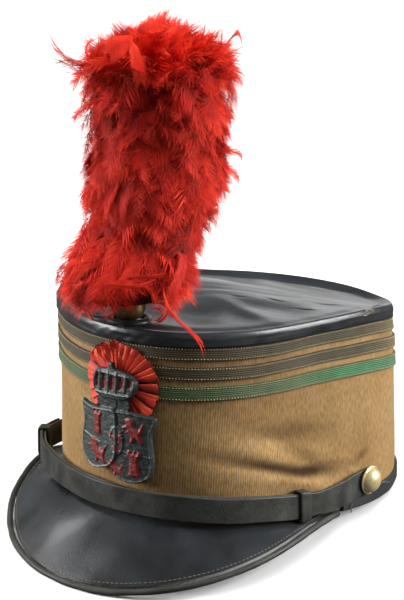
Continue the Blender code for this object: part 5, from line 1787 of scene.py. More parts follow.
class SHAKO_OT_plume(bpy.types.Operator):
    """Plume of dyed feathers: tufts of drooping feathers, loose down and a few long hackles on a core painted
    dark as shade
    """

    bl_idname = "shako.plume"
    bl_label = "Plume"

    def execute(self, context):
        look = context.scene.shako_plume
        finish = hackle_feather(look)
        self.core(finish)
        forms = [feather_form(*row) for row in FEATHER_KINDS]
        kinds = bpy.data.collections.new("feather_kinds")
        for k, form in enumerate([*forms, wisp_form(17, 14)]):
            name = f"feather_kind_{k}"
            kinds.objects.link(bpy.data.objects.new(name, feather_mesh(name, form)))
        share, root, marks = self.feathers(look)
        tree = bpy.data.node_groups.get("Feathers") or feather_tree()
        settings = {
            "Kinds": kinds,
            "Length": look.feather_length,
            "Half width": look.feather_half_width,
            "Feather": finish,
        }
        names = ("plume_low", "plume_middle", "plume_high")
        for name, part in zip(names, np.array_split(np.argsort(share), len(names))):
            mesh = bpy.data.meshes.new(name)
            mesh.from_pydata(root[part].tolist(), [], [])
            for label, kind, values in marks:
                mark(mesh, label, values[part], kind)
            place_piece(name, grown(name, mesh, tree, settings), finish, node="plume")
        for obj in list(kinds.objects):
            bpy.data.objects.remove(obj)
        bpy.data.collections.remove(kinds)
        self.hackles(forms, finish)
        return {"FINISHED"}

    def feathers(self, look):
        """The feathers' share of the height, roots and marks: name, kind of value and values."""
        random = np.random.default_rng(4)
        share, turn, stand, lean, slope, tint, kind = tip_places(random).T
        count = len(turn)
        wisp = kind == WISP_KIND
        across, front = np.sin(turn), np.cos(turn)
        # The skirt is cut short before the cup and a little shorter to its right.
        cut = 0.10 * smooth_step(0.72 - np.abs(across), 0.0, 0.2)
        cut = np.maximum(cut, 0.05 * smooth_step(across, 0.3, 0.5)) * (front > 0)
        share = cut + share * (1.0 - cut)
        radius = PLUME_RADIUS * between(PLUME_FORM, share, 1)
        aside = across * radius / MM
        # Each gap darkens its feathers' tint, which is painted shade, and sinks them a little.
        for _, gap_across, gap_share, wide, tall, depth in PLUME_GAPS:
            du = (aside - gap_across) / wide
            dv = (share - gap_share) * PLUME_HEIGHT / MM / tall
            near = depth * np.exp(-du * du - dv * dv) * (front > 0)
            tint = tint * (1.0 - 0.8 * near)
            stand = stand * (1.0 - 0.35 * near)
        # Painted shade down the front middle of the plume.
        tint = tint * (1.0 - 0.16 * np.exp(-(((aside - 1.0) / 15.0) ** 2)) * (front > 0) * (share < 0.93))
        face = math.radians(PLUME_FACE)
        outward = np.stack([
            across * math.cos(face) + front * math.sin(face),
            across * math.sin(face) - front * math.cos(face),
            0 * turn,
        ], -1)
        up = np.array([0.0, 0.0, 1.0])
        side = np.cross(up, outward)
        fall = np.radians(between(DROOP, share, 1) + slope)[:, None]
        toward = unit(outward * np.cos(fall) + up * np.sin(fall) + side * lean[:, None])
        outer = up * np.cos(fall) - outward * np.sin(fall) + side * random.normal(size=(count, 1)) * 0.3
        length = np.where(wisp, WISP_SIZE, random.uniform(0.8, 1.15, count)) * look.feather_length
        wisp_width = WISP_SIZE * look.feather_length / look.feather_half_width
        width = np.where(wisp, wisp_width, random.uniform(0.8, 1.15, count))
        tip = plume_axis(share) + outward * (radius * stand)[:, None]
        root = tip - toward * length[:, None]
        # Every feather grows from inside the plume, whichever way its side leans.
        root_share = np.minimum(share - toward[:, 2] * length / PLUME_HEIGHT, 0.99)
        away = (root - plume_axis(root_share)) * (1.0, 1.0, 0.0)
        limit = PLUME_RADIUS * between(PLUME_FORM, root_share, 1) * np.where(wisp, 0.9, 0.58)
        hold = np.minimum(1.0, limit / np.maximum(np.linalg.norm(away, axis=1), 1e-6))
        root = root - away * (1.0 - hold)[:, None]
        length = np.linalg.norm(tip - root, axis=1) / look.feather_length
        thickness = np.where(wisp, WISP_SIZE, length * random.uniform(0.7, 1.3, count))
        return share, root, (
            ("toward", "FLOAT_VECTOR", unit(tip - root)),
            ("outer", "FLOAT_VECTOR", outer),
            ("size", "FLOAT_VECTOR", np.stack([width, length, thickness], -1)),
            ("kind", "INT", kind),
            ("tint", "FLOAT", tint),
        )

    def core(self, finish):
        """The middle of the plume, from its stem in the socket to under its crest, painted dark as shade deep
        in the plume.
        """
        share = np.concatenate([[0.005, 0.05, 0.085], np.linspace(0.1, 0.88, 40)])[:, None]
        count = 48
        x, y = np.sin(turns(count)), -np.cos(turns(count))
        radius = PLUME_RADIUS * between(PLUME_FORM, share, 1) * 0.6
        radius = np.where(share < 0.09, STEM_DIAMETER / 2 * 0.95, radius)
        radius = radius * (1.0 - 0.7 * smooth_step(share, 0.78, 0.88))
        rough = 1.0 + 0.06 * ripple(x * 0.03 + 0 * share, -y * 0.03 + 0 * share, share * 0.14, seed=60)
        ring = np.stack([x * radius * rough, y * radius * rough, 0 * rough], -1)
        points = (plume_axis(share[:, 0])[:, None, :] + ring).reshape(-1, 3)
        faces = grid_faces(len(share), count, False, True).tolist()
        faces.append(list(range(count))[::-1])
        faces.append(list(range((len(share) - 1) * count, len(share) * count)))
        # Painted shade: the core takes the darkest tint.
        marks = {"tint": np.full(len(points), 0.05)}
        new_piece("plume_core", points, faces, finish, "plume", "scarlet_feather", marks=marks)

    def hackles(self, forms, finish):
        """Single feathers laid along paths of their own."""
        points, faces, strand, reach, tint = [], [], [], [], []
        at = np.linspace(0, 1, 40)
        for _, kind, half_width, shade, path in HACKLES:
            across, share, front = (np.array(column) for column in zip(*path))
            fine = smooth_path(plume_place(across * MM, share, front * MM), len(at))
            along = unit(np.gradient(fine, axis=0))
            away = fine - plume_axis(np.interp(at, np.linspace(0, 1, len(share)), share))
            outer = unit(away - (away * along).sum(1, keepdims=True) * along)
            side = np.cross(along, outer)
            form, form_faces, form_strand, form_reach = forms[kind]
            x, y, lift = form.T
            reached = np.clip(y, 0.0, 1.15)
            body, side_here, outer_here = (
                np.stack([np.interp(reached, at, column) for column in rows.T], -1)
                for rows in (fine, side, outer)
            )
            over = np.maximum(reached - 1.0, 0.0)[:, None] * along[-1] * run_length(fine)[-1]
            # The form's own side bend is left out here: the path gives the bend.
            lateral = (x - np.polyval(np.polyfit(y, x, 2), y)) * half_width * MM
            stand = (lift - lift.mean()) * 0.15 * half_width * MM
            start = len(points)
            points.extend((body + over + side_here * lateral[:, None] + outer_here * stand[:, None]).tolist())
            faces.extend(tuple(start + k for k in face) for face in form_faces)
            strand.extend(form_strand)
            reach.extend(form_reach)
            tint.extend([shade] * len(form))
        mesh = feather_mesh("plume_hackles", (np.array(points), faces, strand, reach), tint=tint)
        place_piece("plume_hackles", mesh, finish, node="plume")


# Cockade and badge on the front of the hat


def front_point(x, height, offset):
    """Points in front of the wall at distances x from the middle."""
    x, height, offset = np.broadcast_arrays(np.asarray(x, float), height, offset)
    angle = np.arcsin(np.clip(x / outline_radius(0.0), -0.95, 0.95))
    for _ in range(6):
        found = wall(angle, height)
        angle = angle + (x - found[..., 0]) / outline_radius(angle)
    found = wall(angle, height)
    ny = plan_normal(angle, height)[1]
    return np.stack([x, found[..., 1] + ny * offset, height], -1)


def tape_front():
    return GAP + TAPE_THICKNESS


def badge_standoff():
    return tape_front() + 4 * GAP + COCKADE_THICKNESS + COCKADE_PLEAT_DEPTH


def pleat_tree():
    """Pleats set round a hub, each turned a little unevenly."""
    tree, given, result = new_tree(
        "Pleats",
        (
            ("Pleats", "NodeSocketInt", 34),
            ("Unevenness", "NodeSocketFloat", 0.04),
            ("Ribbon", "NodeSocketMaterial", None),
        ),
    )
    hub = add_node(tree, "GeometryNodeMeshCircle", {"Vertices": given["Pleats"], "Radius": 1.0 * MM})
    place = add_node(tree, "GeometryNodeInputPosition")
    sway = add_node(tree, "FunctionNodeRandomValue", {"Seed": 5}, data_type="FLOAT")
    least = add_node(tree, "ShaderNodeMath", {0: given["Unevenness"], 1: -1.0}, operation="MULTIPLY")
    tree.links.new(least.outputs[0], sway.inputs[2])
    tree.links.new(given["Unevenness"], sway.inputs[3])
    turn = add_node(
        tree, "FunctionNodeAxesToRotation",
        {"Primary Axis": (0.0, 0.0, 1.0), "Secondary Axis": place.outputs[0]},
        primary_axis="Z", secondary_axis="X",
    )
    bent = add_node(tree, "ShaderNodeCombineXYZ", {"Z": sway.outputs[1]})
    both = add_node(
        tree, "FunctionNodeRotateRotation", {"Rotation": turn.outputs[0], "Rotate By": bent.outputs[0]}
    )
    size = add_node(tree, "FunctionNodeRandomValue", {"Seed": 8}, data_type="FLOAT_VECTOR")
    size.inputs[0].default_value = (0.965, 0.9, 0.75)
    size.inputs[1].default_value = (1.02, 1.1, 1.15)
    laid = add_node(
        tree,
        "GeometryNodeInstanceOnPoints",
        {"Points": hub.outputs["Mesh"], "Instance": given["Geometry"], "Rotation": both.outputs[0],
         "Scale": size.outputs[0]},
    )
    real = add_node(tree, "GeometryNodeRealizeInstances", {"Geometry": laid.outputs[0]})
    coloured = add_node(
        tree, "GeometryNodeSetMaterial", {"Geometry": real.outputs[0], "Material": given["Ribbon"]}
    )
    tree.links.new(coloured.outputs[0], result.inputs[0])
    return tree


def grosgrain_ribbon(look):
    """Ribbed silk ribbon: fine ribs across the pleats, with painted light on the pleats' crests and painted
    shade in their folds.
    """
    material, tree, shader = new_finish(
        "Red grosgrain ribbon", roughness=0.58, specular_ior_level=0.3, sheen_weight=0.25,
        sheen_roughness=0.35
    )
    radial = add_node(tree, "ShaderNodeAttribute", attribute_name="radial").outputs["Fac"]
    crest = add_node(tree, "ShaderNodeAttribute", attribute_name="crest").outputs["Fac"]
    place = add_node(tree, "ShaderNodeCombineXYZ", {"X": radial})
    ribs = add_node(
        tree, "ShaderNodeTexWave",
        {"Vector": place.outputs[0], "Scale": WAVE_PERIOD / (0.9 * MM), "Distortion": 0.4}
    )
    spot = add_node(tree, "ShaderNodeTexCoord").outputs["Object"]
    blotch = add_node(tree, "ShaderNodeTexNoise", {"Vector": spot, "Scale": 160.0, "Detail": 3.0})
    # Painted light and shade: the crest mark lightens the pleats' tops and darkens their folds.
    total = add_node(tree, "ShaderNodeMath", {0: crest, 1: 0.6}, operation="MULTIPLY")
    for source, share in ((ribs.outputs["Fac"], 0.16), (blotch.outputs["Fac"], 0.3)):
        total = add_node(
            tree, "ShaderNodeMath", {0: source, 1: share, 2: total.outputs[0]}, operation="MULTIPLY_ADD"
        )
    red = add_node(
        tree, "ShaderNodeValToRGB", {"Fac": total.outputs[0]},
        stops=((0.1, "4A0E0C"), (0.4, "A8261E"), (0.75, look.ribbon_hex), (1.0, "EE6A44")),
    )
    tree.links.new(red.outputs["Color"], shader.inputs["Base Color"])
    bump = add_node(
        tree, "ShaderNodeBump", {"Height": ribs.outputs["Fac"], "Strength": 0.5, "Distance": 0.12 * MM}
    )
    tree.links.new(bump.outputs["Normal"], shader.inputs["Normal"])
    return material


class ShakoFront(bpy.types.PropertyGroup):
    ribbon_hex: hex_setting("Ribbon", "sRGB hex value of the cockade's ribbon", "E2482F")
    enamel_hex: hex_setting("Enamel", "sRGB hex value of the badge's enamel", "8C302B")
    pewter_hex: hex_setting("Pewter", "sRGB hex value of the badge's metal", "4A514F")
    pleats: bpy.props.IntProperty(name="Pleats", description="Pleats round the cockade", default=31, min=8)


# Direction and spread in radians of the crushed place in the cockade's ribbon
CRUSH_TURN = 2.1
CRUSH_SPREAD = 0.75


class SHAKO_OT_cockade(bpy.types.Operator):
    """Rosette of pleated ribbon behind the badge"""

    bl_idname = "shako.cockade"
    bl_label = "Cockade"

    def execute(self, context):
        look = context.scene.shako_front
        finish = grosgrain_ribbon(look)
        values = {"Pleats": look.pleats, "Unevenness": 0.09, "Ribbon": finish}
        made = grown("cockade_ribbon", self.pleat(2 * math.pi / look.pleats), pleat_tree(), values)
        flat = np.zeros(len(made.vertices) * 3)
        made.vertices.foreach_get("co", flat)
        x, y, lift = flat.reshape(-1, 3).T
        turn, reach = np.arctan2(y, x), np.hypot(x, y)
        # The upper left of the ribbon is crushed into narrow loops of uneven height.
        share = reach / COCKADE_RADIUS
        crushed = np.exp(-(((turn - CRUSH_TURN) / CRUSH_SPREAD) ** 2)) * share
        turn = turn + crushed * (0.05 * np.sin(23.0 * turn) + 0.04 * np.sin(41.0 * turn + 60.0 * share))
        reach = reach * (1.0 - crushed * (0.05 + 0.05 * np.sin(29.0 * turn)))
        lift = lift * (1.0 + crushed * (0.5 + 0.9 * np.sin(37.0 * turn + 5.0 * reach / COCKADE_RADIUS)))
        x, y = COCKADE_X + reach * np.cos(turn), crown_height(0.0) - COCKADE_DROP + reach * np.sin(turn)
        # No part of the ribbon sinks into the braids behind it.
        placed = front_point(x, y, tape_front() + 2 * GAP + np.maximum(lift, 0.0))
        made.vertices.foreach_set("co", placed.ravel())
        place_piece("cockade_ribbon", made, finish, node="cockade", sharp=60)
        return {"FINISHED"}

    def pleat(self, pitch):
        """One pleat: across its pitch it rises over its neighbour, folds and returns under it."""
        share = np.linspace(0.0, 1.0, 12)[:, None]
        radius = COCKADE_HUB * 0.6 + (COCKADE_RADIUS - COCKADE_HUB * 0.6) * share
        across = np.array([[-0.62, -0.35, 0.0, 0.3, 0.52, 0.58, 0.5, 0.3]])
        lift = np.array([[0.0, 0.32, 0.68, 0.92, 1.0, 0.72, 0.3, 0.05]])
        scallop = 1.0 - 0.05 * np.abs(across) * share
        top = np.stack([
            radius * np.cos(across * pitch) * scallop,
            radius * np.sin(across * pitch),
            COCKADE_PLEAT_DEPTH * (0.45 + 0.55 * share) * lift + 0.25 * MM,
        ], -1)
        points = np.concatenate([top, top[:, ::-1] - (0.0, 0.0, 0.22 * MM)], 1)
        rows, columns = points.shape[:2]
        faces = grid_faces(rows, columns, False, True).tolist()
        faces.append(list(range(columns))[::-1])
        faces.append(list(range((rows - 1) * columns, rows * columns)))
        mesh = bpy.data.meshes.new("pleat")
        mesh.from_pydata(points.reshape(-1, 3).tolist(), [], faces)
        # The crest mark carries the painted light and shade of the ribbon's colour.
        mark(mesh, "crest", np.tile(np.concatenate([lift, lift[:, ::-1]], 1), (rows, 1)))
        mark(mesh, "radial", np.tile(radius, (1, columns)))
        return mesh


def inside_distance(x, y, outline):
    """Distance to a closed outline, negative inside it."""
    points = np.array(outline)
    best = np.full(x.shape, 1e9)
    inside = np.zeros(x.shape, bool)
    for (x1, y1), (x2, y2) in zip(points, np.roll(points, -1, axis=0)):
        dx, dy = x2 - x1, y2 - y1
        share = np.clip(((x - x1) * dx + (y - y1) * dy) / (dx * dx + dy * dy), 0.0, 1.0)
        best = np.minimum(best, np.hypot(x - x1 - share * dx, y - y1 - share * dy))
        crosses = (y1 > y) != (y2 > y)
        with np.errstate(divide="ignore", invalid="ignore"):
            inside ^= crosses & (x < dx * (y - y1) / dy + x1)
    return np.where(inside, -best, best)


def softened(outline, rounds=2):
    """An outline with its corners cut off a few times over, which rounds them."""
    points = np.array(outline, float)
    for _ in range(rounds):
        after = np.roll(points, -1, axis=0)
        points = np.stack([points * 0.8 + after * 0.2, points * 0.2 + after * 0.8], 1).reshape(-1, 2)
    return points


# Outlines of the badge, as shares: x of its half width, height of its full height.
LEFT_SHIELD = (
    (-0.91, 0.60), (-0.64, 0.575), (-0.35, 0.585), (0.13, 0.62), (0.15, 0.40), (0.14, 0.24),
    (0.00, 0.11), (-0.38, 0.045), (-0.60, 0.03), (-0.82, 0.08), (-0.91, 0.19), (-0.88, 0.32),
    (-0.79, 0.44),
)
RIGHT_SHIELD = (
    (-0.02, 0.60), (0.45, 0.615), (0.70, 0.60), (0.99, 0.585), (0.97, 0.52), (0.87, 0.44),
    (0.90, 0.30), (0.93, 0.18), (0.86, 0.06), (0.62, 0.0), (0.30, -0.01), (0.05, 0.02),
    (-0.10, 0.09),
)
SHIELD_NECK = ((-0.42, 0.58), (0.44, 0.60), (0.40, 0.72), (-0.40, 0.70))
CROWN_FORM = (
    (-0.42, 0.68), (0.30, 0.695), (0.48, 0.73), (0.60, 0.80), (0.62, 0.87), (0.48, 0.925), (0.28, 0.945),
    (0.07, 0.95), (0.06, 1.00), (-0.06, 1.00), (-0.07, 0.94), (-0.30, 0.93), (-0.46, 0.89),
    (-0.52, 0.83), (-0.50, 0.76),
)
CROWN_SLOTS = (
    ((-0.42, 0.76), (-0.34, 0.755), (-0.31, 0.88), (-0.40, 0.86)),
    ((-0.25, 0.755), (-0.13, 0.755), (-0.11, 0.895), (-0.22, 0.895)),
    ((-0.04, 0.76), (0.08, 0.765), (0.11, 0.905), (-0.01, 0.90)),
    ((0.17, 0.775), (0.29, 0.785), (0.34, 0.90), (0.21, 0.905)),
    ((0.37, 0.80), (0.46, 0.815), (0.51, 0.875), (0.42, 0.89)),
)
OVAL = tuple(
    (0.12 + 0.18 * math.sin(k * math.pi / 5), 0.335 + 0.12 * math.cos(k * math.pi / 5)) for k in range(10)
)
TOWER_FORM = (
    (-0.5, 0.0), (0.5, 0.0), (0.36, 0.18), (0.34, 0.72), (0.5, 0.80), (0.5, 1.0), (0.2, 1.0),
    (0.2, 0.88), (0.1, 0.88), (0.1, 1.0), (-0.1, 1.0), (-0.1, 0.88), (-0.2, 0.88), (-0.2, 1.0),
    (-0.5, 1.0), (-0.5, 0.80), (-0.34, 0.72), (-0.36, 0.18),
)
BEAST_FORM = (
    (-0.22, 0.00), (0.02, 0.02), (0.08, 0.22), (0.30, 0.06), (0.50, 0.10), (0.34, 0.34),
    (0.40, 0.52), (0.52, 0.86), (0.34, 0.80), (0.26, 0.58), (0.08, 0.66), (0.04, 0.90),
    (-0.16, 1.00), (-0.40, 0.90), (-0.30, 0.72), (-0.52, 0.60), (-0.50, 0.50), (-0.22, 0.56),
    (-0.44, 0.34), (-0.18, 0.40), (-0.10, 0.26),
)
CHARGES = (
    # form, x, foot, width as shares of the half width, height as a share of the height
    (TOWER_FORM, -0.38, 0.35, 0.30, 0.22),
    (BEAST_FORM, -0.40, 0.09, 0.58, 0.23),
    (BEAST_FORM, 0.51, 0.34, 0.50, 0.23),
    (TOWER_FORM, 0.52, 0.06, 0.32, 0.23),
    # The small ones in the middle oval and between the feet of the shields
    (BEAST_FORM, 0.04, 0.33, 0.17, 0.10),
    (TOWER_FORM, 0.20, 0.32, 0.13, 0.10),
    (BEAST_FORM, 0.12, 0.235, 0.18, 0.09),
    (BEAST_FORM, 0.08, 0.03, 0.42, 0.15),
)
# Runs of cast beads: x, height of both ends as shares, how far the run bows out, beads
BEAD_RUNS = (
    ((-0.46, 0.75), (-0.40, 0.885), -0.03, 8),
    ((-0.29, 0.75), (-0.26, 0.90), -0.02, 9),
    ((-0.08, 0.75), (-0.05, 0.92), 0.0, 9),
    ((0.12, 0.76), (0.16, 0.92), 0.0, 9),
    ((0.33, 0.775), (0.38, 0.905), 0.0, 8),
    ((0.50, 0.80), (0.56, 0.87), 0.02, 5),
    ((-0.42, 0.72), (0.44, 0.745), 0.0, 22),
    ((-0.40, 0.905), (0.50, 0.91), 0.0, 22),
)


BEAD_RADIUS = 0.8 * MM
BALL_RADIUS = 2.2 * MM
BALL_PLACE = (-0.50, 0.655)
# Raised bars across the shields, between two ends
SHIELD_BARS = (((-0.94, 0.325), (-0.30, 0.285)), ((0.12, 0.262), (0.90, 0.24)))
BADGE_FORMS = {
    "left": LEFT_SHIELD,
    "right": RIGHT_SHIELD,
    "neck": SHIELD_NECK,
    "crown": CROWN_FORM,
    "oval": OVAL,
}


def badge_places(outline):
    """Places of an outline between the crown's ridge and the strap under the badge."""
    top = crown_height(0.0) - BADGE_DROP
    foot = strap_middle(0.0) + STRAP_WIDTH / 2 + BADGE_CLEARANCE
    return [(x * BADGE_WIDTH / 2, foot + share * (top - foot)) for x, share in outline]


def badge_distance(x, y, outline, rounds=2):
    """Distance to an outline of the badge, given as shares, after its corners are rounded."""
    return inside_distance(x, y, softened(badge_places(outline), rounds))


def cast_pewter(look):
    """Cast, darkened metal: greenish grey, lighter where rubbed, with worn red enamel on the figures."""
    material, tree, shader = new_finish("Dark cast pewter with red enamel", roughness=0.5, metallic=0.4)
    height = add_node(tree, "ShaderNodeAttribute", attribute_name="relief").outputs["Fac"]
    enamel = add_node(tree, "ShaderNodeAttribute", attribute_name="enamel").outputs["Fac"]
    spot = add_node(tree, "ShaderNodeTexCoord").outputs["Object"]
    grain = add_node(
        tree, "ShaderNodeTexNoise", {"Vector": spot, "Scale": 900.0, "Detail": 4.0, "Roughness": 0.7}
    )
    blotch = add_node(tree, "ShaderNodeTexNoise", {"Vector": spot, "Scale": 170.0, "Detail": 4.0})
    wear = add_node(
        tree, "ShaderNodeMath", {0: grain.outputs["Fac"], 1: 0.5, 2: height}, operation="MULTIPLY_ADD"
    )
    metal = add_node(
        tree, "ShaderNodeValToRGB", {"Fac": wear.outputs[0]},
        stops=((0.2, "333937"), (0.55, look.pewter_hex), (0.95, "6C7472")),
    )
    worn = add_node(
        tree, "ShaderNodeMath", {0: blotch.outputs["Fac"], 1: 0.75, 2: enamel}, operation="MULTIPLY_ADD"
    )
    cover = add_node(tree, "ShaderNodeMapRange", {"Value": worn.outputs[0], 1: 1.0, 2: 1.25, 3: 0.0, 4: 1.0})
    red = add_node(
        tree, "ShaderNodeValToRGB", {"Fac": grain.outputs["Fac"]},
        stops=((0.3, "4E1A1A"), (0.6, look.enamel_hex), (0.8, "A85048")),
    )
    both = add_node(
        tree, "ShaderNodeMix", {0: cover.outputs[0], 6: metal.outputs["Color"], 7: red.outputs["Color"]},
        data_type="RGBA",
    )
    tree.links.new(both.outputs[2], shader.inputs["Base Color"])
    plain = add_node(tree, "ShaderNodeMapRange", {"Value": cover.outputs[0], 3: 0.4, 4: 0.05})
    tree.links.new(plain.outputs[0], shader.inputs["Metallic"])
    bump = add_node(
        tree, "ShaderNodeBump", {"Height": grain.outputs["Fac"], "Strength": 0.45, "Distance": 0.25 * MM}
    )
    tree.links.new(bump.outputs["Normal"], shader.inputs["Normal"])
    return material


class SHAKO_OT_badge(bpy.types.Operator):
    """Cast badge: a beaded crown over two shields with raised, enamelled figures"""

    bl_idname = "shako.badge"
    bl_label = "Badge"

    def execute(self, context):
        step = 0.34 * MM
        half = BADGE_WIDTH / 2 + step
        (_, low), (_, high) = badge_places([(0, -0.02), (0, 1.01)])
        x, y = np.meshgrid(np.arange(-half, half, step), np.arange(low, high, step), indexing="ij")
        soft = {name: badge_distance(x, y, outline) for name, outline in BADGE_FORMS.items()}
        slots = np.minimum.reduce([badge_distance(x, y, slot) for slot in CROWN_SLOTS])
        outside = np.minimum.reduce([soft[name] for name in ("left", "right", "neck", "crown")])
        relief, enamel = self.relief(x, y, soft, slots)
        keep = (outside[:-1, :-1] + outside[1:, :-1] + outside[:-1, 1:] + outside[1:, 1:]) < 0
        # How many kept squares meet at each point
        count = np.zeros(x.shape, int)
        for i in (0, 1):
            for j in (0, 1):
                count[i : i + keep.shape[0], j : j + keep.shape[1]] += keep
        used = count > 0
        rim = used & (count < 4)
        slope_x, slope_y = np.gradient(outside, step)
        steep = np.maximum(slope_x**2 + slope_y**2, 0.25)
        x = np.where(rim, x - outside * slope_x / steep, x)[used]
        y = np.where(rim, y - outside * slope_y / steep, y)[used]
        total = len(x)
        index = np.zeros(used.shape, int)
        index[used] = np.arange(total)
        i, j = np.nonzero(keep)
        front = np.stack([index[i, j], index[i + 1, j], index[i + 1, j + 1], index[i, j + 1]], 1)
        faces = front.tolist() + (front[:, ::-1] + total).tolist()
        edges = dict.fromkeys((a, b) for face in front.tolist() for a, b in zip(face, face[1:] + face[:1]))
        faces += [[b, a, a + total, b + total] for a, b in edges if (b, a) not in edges]
        stand = badge_standoff()
        height = np.where(rim, BADGE_PLATE * 0.55, relief)[used]
        points = np.concatenate([front_point(x + BADGE_X, y, stand + out) for out in (height, 0 * height)])
        marks = {
            "relief": np.tile(np.clip((relief[used] - BADGE_PLATE) / (2.2 * MM), 0, 1), 2),
            "enamel": np.tile(enamel[used], 2),
        }
        metal = cast_pewter(context.scene.shako_front)
        new_piece("badge_plate", points, faces, metal, "badge", "dark_pewter", marks=marks)
        return {"FINISHED"}

    def relief(self, x, y, soft, slots):
        """Height of the cast front over its back, and where it is enamelled."""

        def rise(distance, width):
            return smooth_step(-distance, 0.0, width)

        def ridge(distance, inset, width):
            return np.exp(-(((distance + inset) / width) ** 2))

        relief = BADGE_PLATE * (0.55 + 0.45 * rise(soft["right"], 0.8 * MM))
        relief = relief + 0.45 * MM * ridge(soft["right"], 0.9 * MM, 0.5 * MM)
        left = 0.55 * MM * rise(soft["left"], 0.7 * MM) + 0.5 * MM * ridge(soft["left"], 0.9 * MM, 0.5 * MM)
        relief = np.where(soft["left"] < 0, BADGE_PLATE + left, relief)
        (line_x, line_low), (_, line_high) = badge_places([(0.13, 0.47), (0.13, 0.68)])
        groove = np.exp(-(((x - line_x) / (0.45 * MM)) ** 2)) * (y > line_low) * (y < line_high)
        relief = relief - 0.5 * MM * groove
        for ends in SHIELD_BARS:
            (x1, y1), (x2, y2) = badge_places(ends)
            away = np.abs(y - (y1 + (y2 - y1) * np.clip((x - x1) / (x2 - x1), 0, 1)))
            relief = relief + 0.4 * MM * np.exp(-((away / (0.4 * MM)) ** 2)) * (x > x1) * (x < x2)
        relief = relief + 0.5 * MM * rise(soft["oval"], 0.8 * MM)
        relief = relief + 0.3 * MM * ridge(soft["oval"], 0.4 * MM, 0.4 * MM)
        # The crown's openings are sunk and lined with the same red as the figures.
        over = (BADGE_PLATE + BADGE_RELIEF) * (0.55 + 0.25 * rise(soft["crown"], 0.8 * MM))
        over = over - 0.9 * MM * rise(slots, 0.5 * MM)
        relief = np.where(soft["crown"] < 0, np.where(slots < 0, over, np.maximum(relief, over)), relief)
        enamel = smooth_step(-slots, -0.2 * MM, 0.4 * MM)
        for form, middle, foot, width, height in CHARGES:
            outline = [(middle + px * width, foot + pz * height) for px, pz in form]
            distance = badge_distance(x, y, outline, 1)
            relief = relief + (0.9 if height > 0.15 else 0.45) * MM * rise(distance, 1.3 * MM)
            enamel = np.maximum(enamel, smooth_step(-distance, -0.3 * MM, 0.35 * MM))
        beads = [(0.12 + 0.16 * math.sin(a), 0.345 + 0.115 * math.cos(a)) for a in np.linspace(-1.3, 1.3, 11)]
        for start, end, bow, count in BEAD_RUNS:
            for s in np.linspace(0, 1, count):
                bowed = start[0] + (end[0] - start[0]) * s + bow * math.sin(math.pi * s)
                beads.append((bowed, start[1] + (end[1] - start[1]) * s))
        for bead_x, bead_y in badge_places(beads):
            away = np.hypot(x - bead_x, y - bead_y) / BEAD_RADIUS
            relief = relief + 0.6 * MM * np.sqrt(np.clip(1 - away**2, 0, 1))
        ball_x, ball_y = badge_places([BALL_PLACE])[0]
        ball = np.hypot(x - ball_x, y - ball_y)
        enamel = np.maximum(enamel, smooth_step(-ball, -BALL_RADIUS, 0.4 * MM - BALL_RADIUS))
        relief = relief + 1.2 * MM * np.sqrt(np.clip(1 - (ball / BALL_RADIUS) ** 2, 0, 1))
        grain = 0.1 * MM * ripple(x, y, seed=70, waves=14, low=150.0, high=700.0)
        return relief + grain, enamel


# Loose threads and frayed fibres

LOOSE_THREADS = (
    # name, radius in mm, points: plan angle in degrees, height in mm, distance from the wall in mm
    ("thread_from_button", 0.22,
     ((88.0, 20.5, 6.2), (93.0, 17.5, 3.4), (98.0, 12.5, 2.0), (104.7, 8.0, 1.4), (107.5, 6.5, 1.0))),
    ("thread_over_band", 0.25, ((79.0, 13.8, 3.6), (79.9, 11.0, 2.6), (79.3, 8.0, 2.3), (80.1, 5.0, 1.6))),
    ("thread_by_button", 0.18, ((92.0, 19.0, 3.2), (96.0, 19.8, 1.6), (99.5, 19.2, 0.9))),
)
FRAY_ANGLE = 93.5  # plan angle in degrees of the worn place on the crown's edge
FRAY_STRANDS = 12
THREAD_LEAN = (0.3, 0.2, 1.0)  # a direction that no thread or fibre follows


class SHAKO_OT_threads(bpy.types.Operator):
    """Loose dark threads below the near button and frayed fibres at the crown's worn edge"""

    bl_idname = "shako.threads"
    bl_label = "Loose threads"

    def execute(self, context):
        thread = sewing_thread("Dark waxed thread", "4E4836")
        for name, radius, path in LOOSE_THREADS:
            degrees, height, offset = (np.array(column) for column in zip(*path))
            fine = smooth_path(wall(np.radians(degrees), height * MM, offset * MM), 26)
            swept(name, tube_rings(fine, radius * MM, 7, THREAD_LEAN), thread, slot="twill")
        self.fray()
        return {"FINISHED"}

    def fray(self):
        """Torn linen fibres where the crown's edge has worn through."""
        random = np.random.default_rng(9)
        linen = sewing_thread("Frayed linen under the leather", "A49E90")
        for k in range(FRAY_STRANDS):
            lean, climb = random.normal(size=2)
            at = np.radians(FRAY_ANGLE + random.normal() * 1.3 + np.array([0.0, 0.5, 1.0]) * lean * 1.4)
            rise = random.uniform(-2.2, 0.4) + np.array([0.0, 0.5, 0.7]) * climb
            places = wall(at, crown_height(at) + rise * MM, np.array([1.2, 3.0, 2.4]) * MM)
            swept(f"linen_fibre_{k}", tube_rings(places, 0.16 * MM, 5, THREAD_LEAN), linen, slot="twill")


# Stage

LIGHTS = (
    # name, place, width, height as a share of it, name of its setting, whether the gloss shows it
    ("left_softbox", (-1.3, -0.75, 0.55), 0.8, 1.0, "left_light", True),
    ("right_softbox", (1.25, 0.6, 0.6), 0.8, 1.0, "right_light", True),
    ("front_softbox", (0.9, -1.9, 1.2), 0.8, 1.0, "front_light", True),
    ("back_softbox", (-0.69, 1.75, 0.22), 0.5, 0.45, "back_light", True),
    # This one stands below the floor's level, where only the crown's far half mirrors it.
    ("low_softbox", (-0.95, 1.6, -0.2), 1.5, 0.33, "low_light", True),
    ("far_softbox", (-1.42, 0.12, 0.92), 0.5, 1.0, "far_light", True),
    ("overhead_softbox", (0.1, 0.42, 1.5), 0.2, 1.0, "overhead_light", True),
    ("top_softbox", (0.0, 0.0, 3.0), 4.0, 1.0, "top_light", False),
)


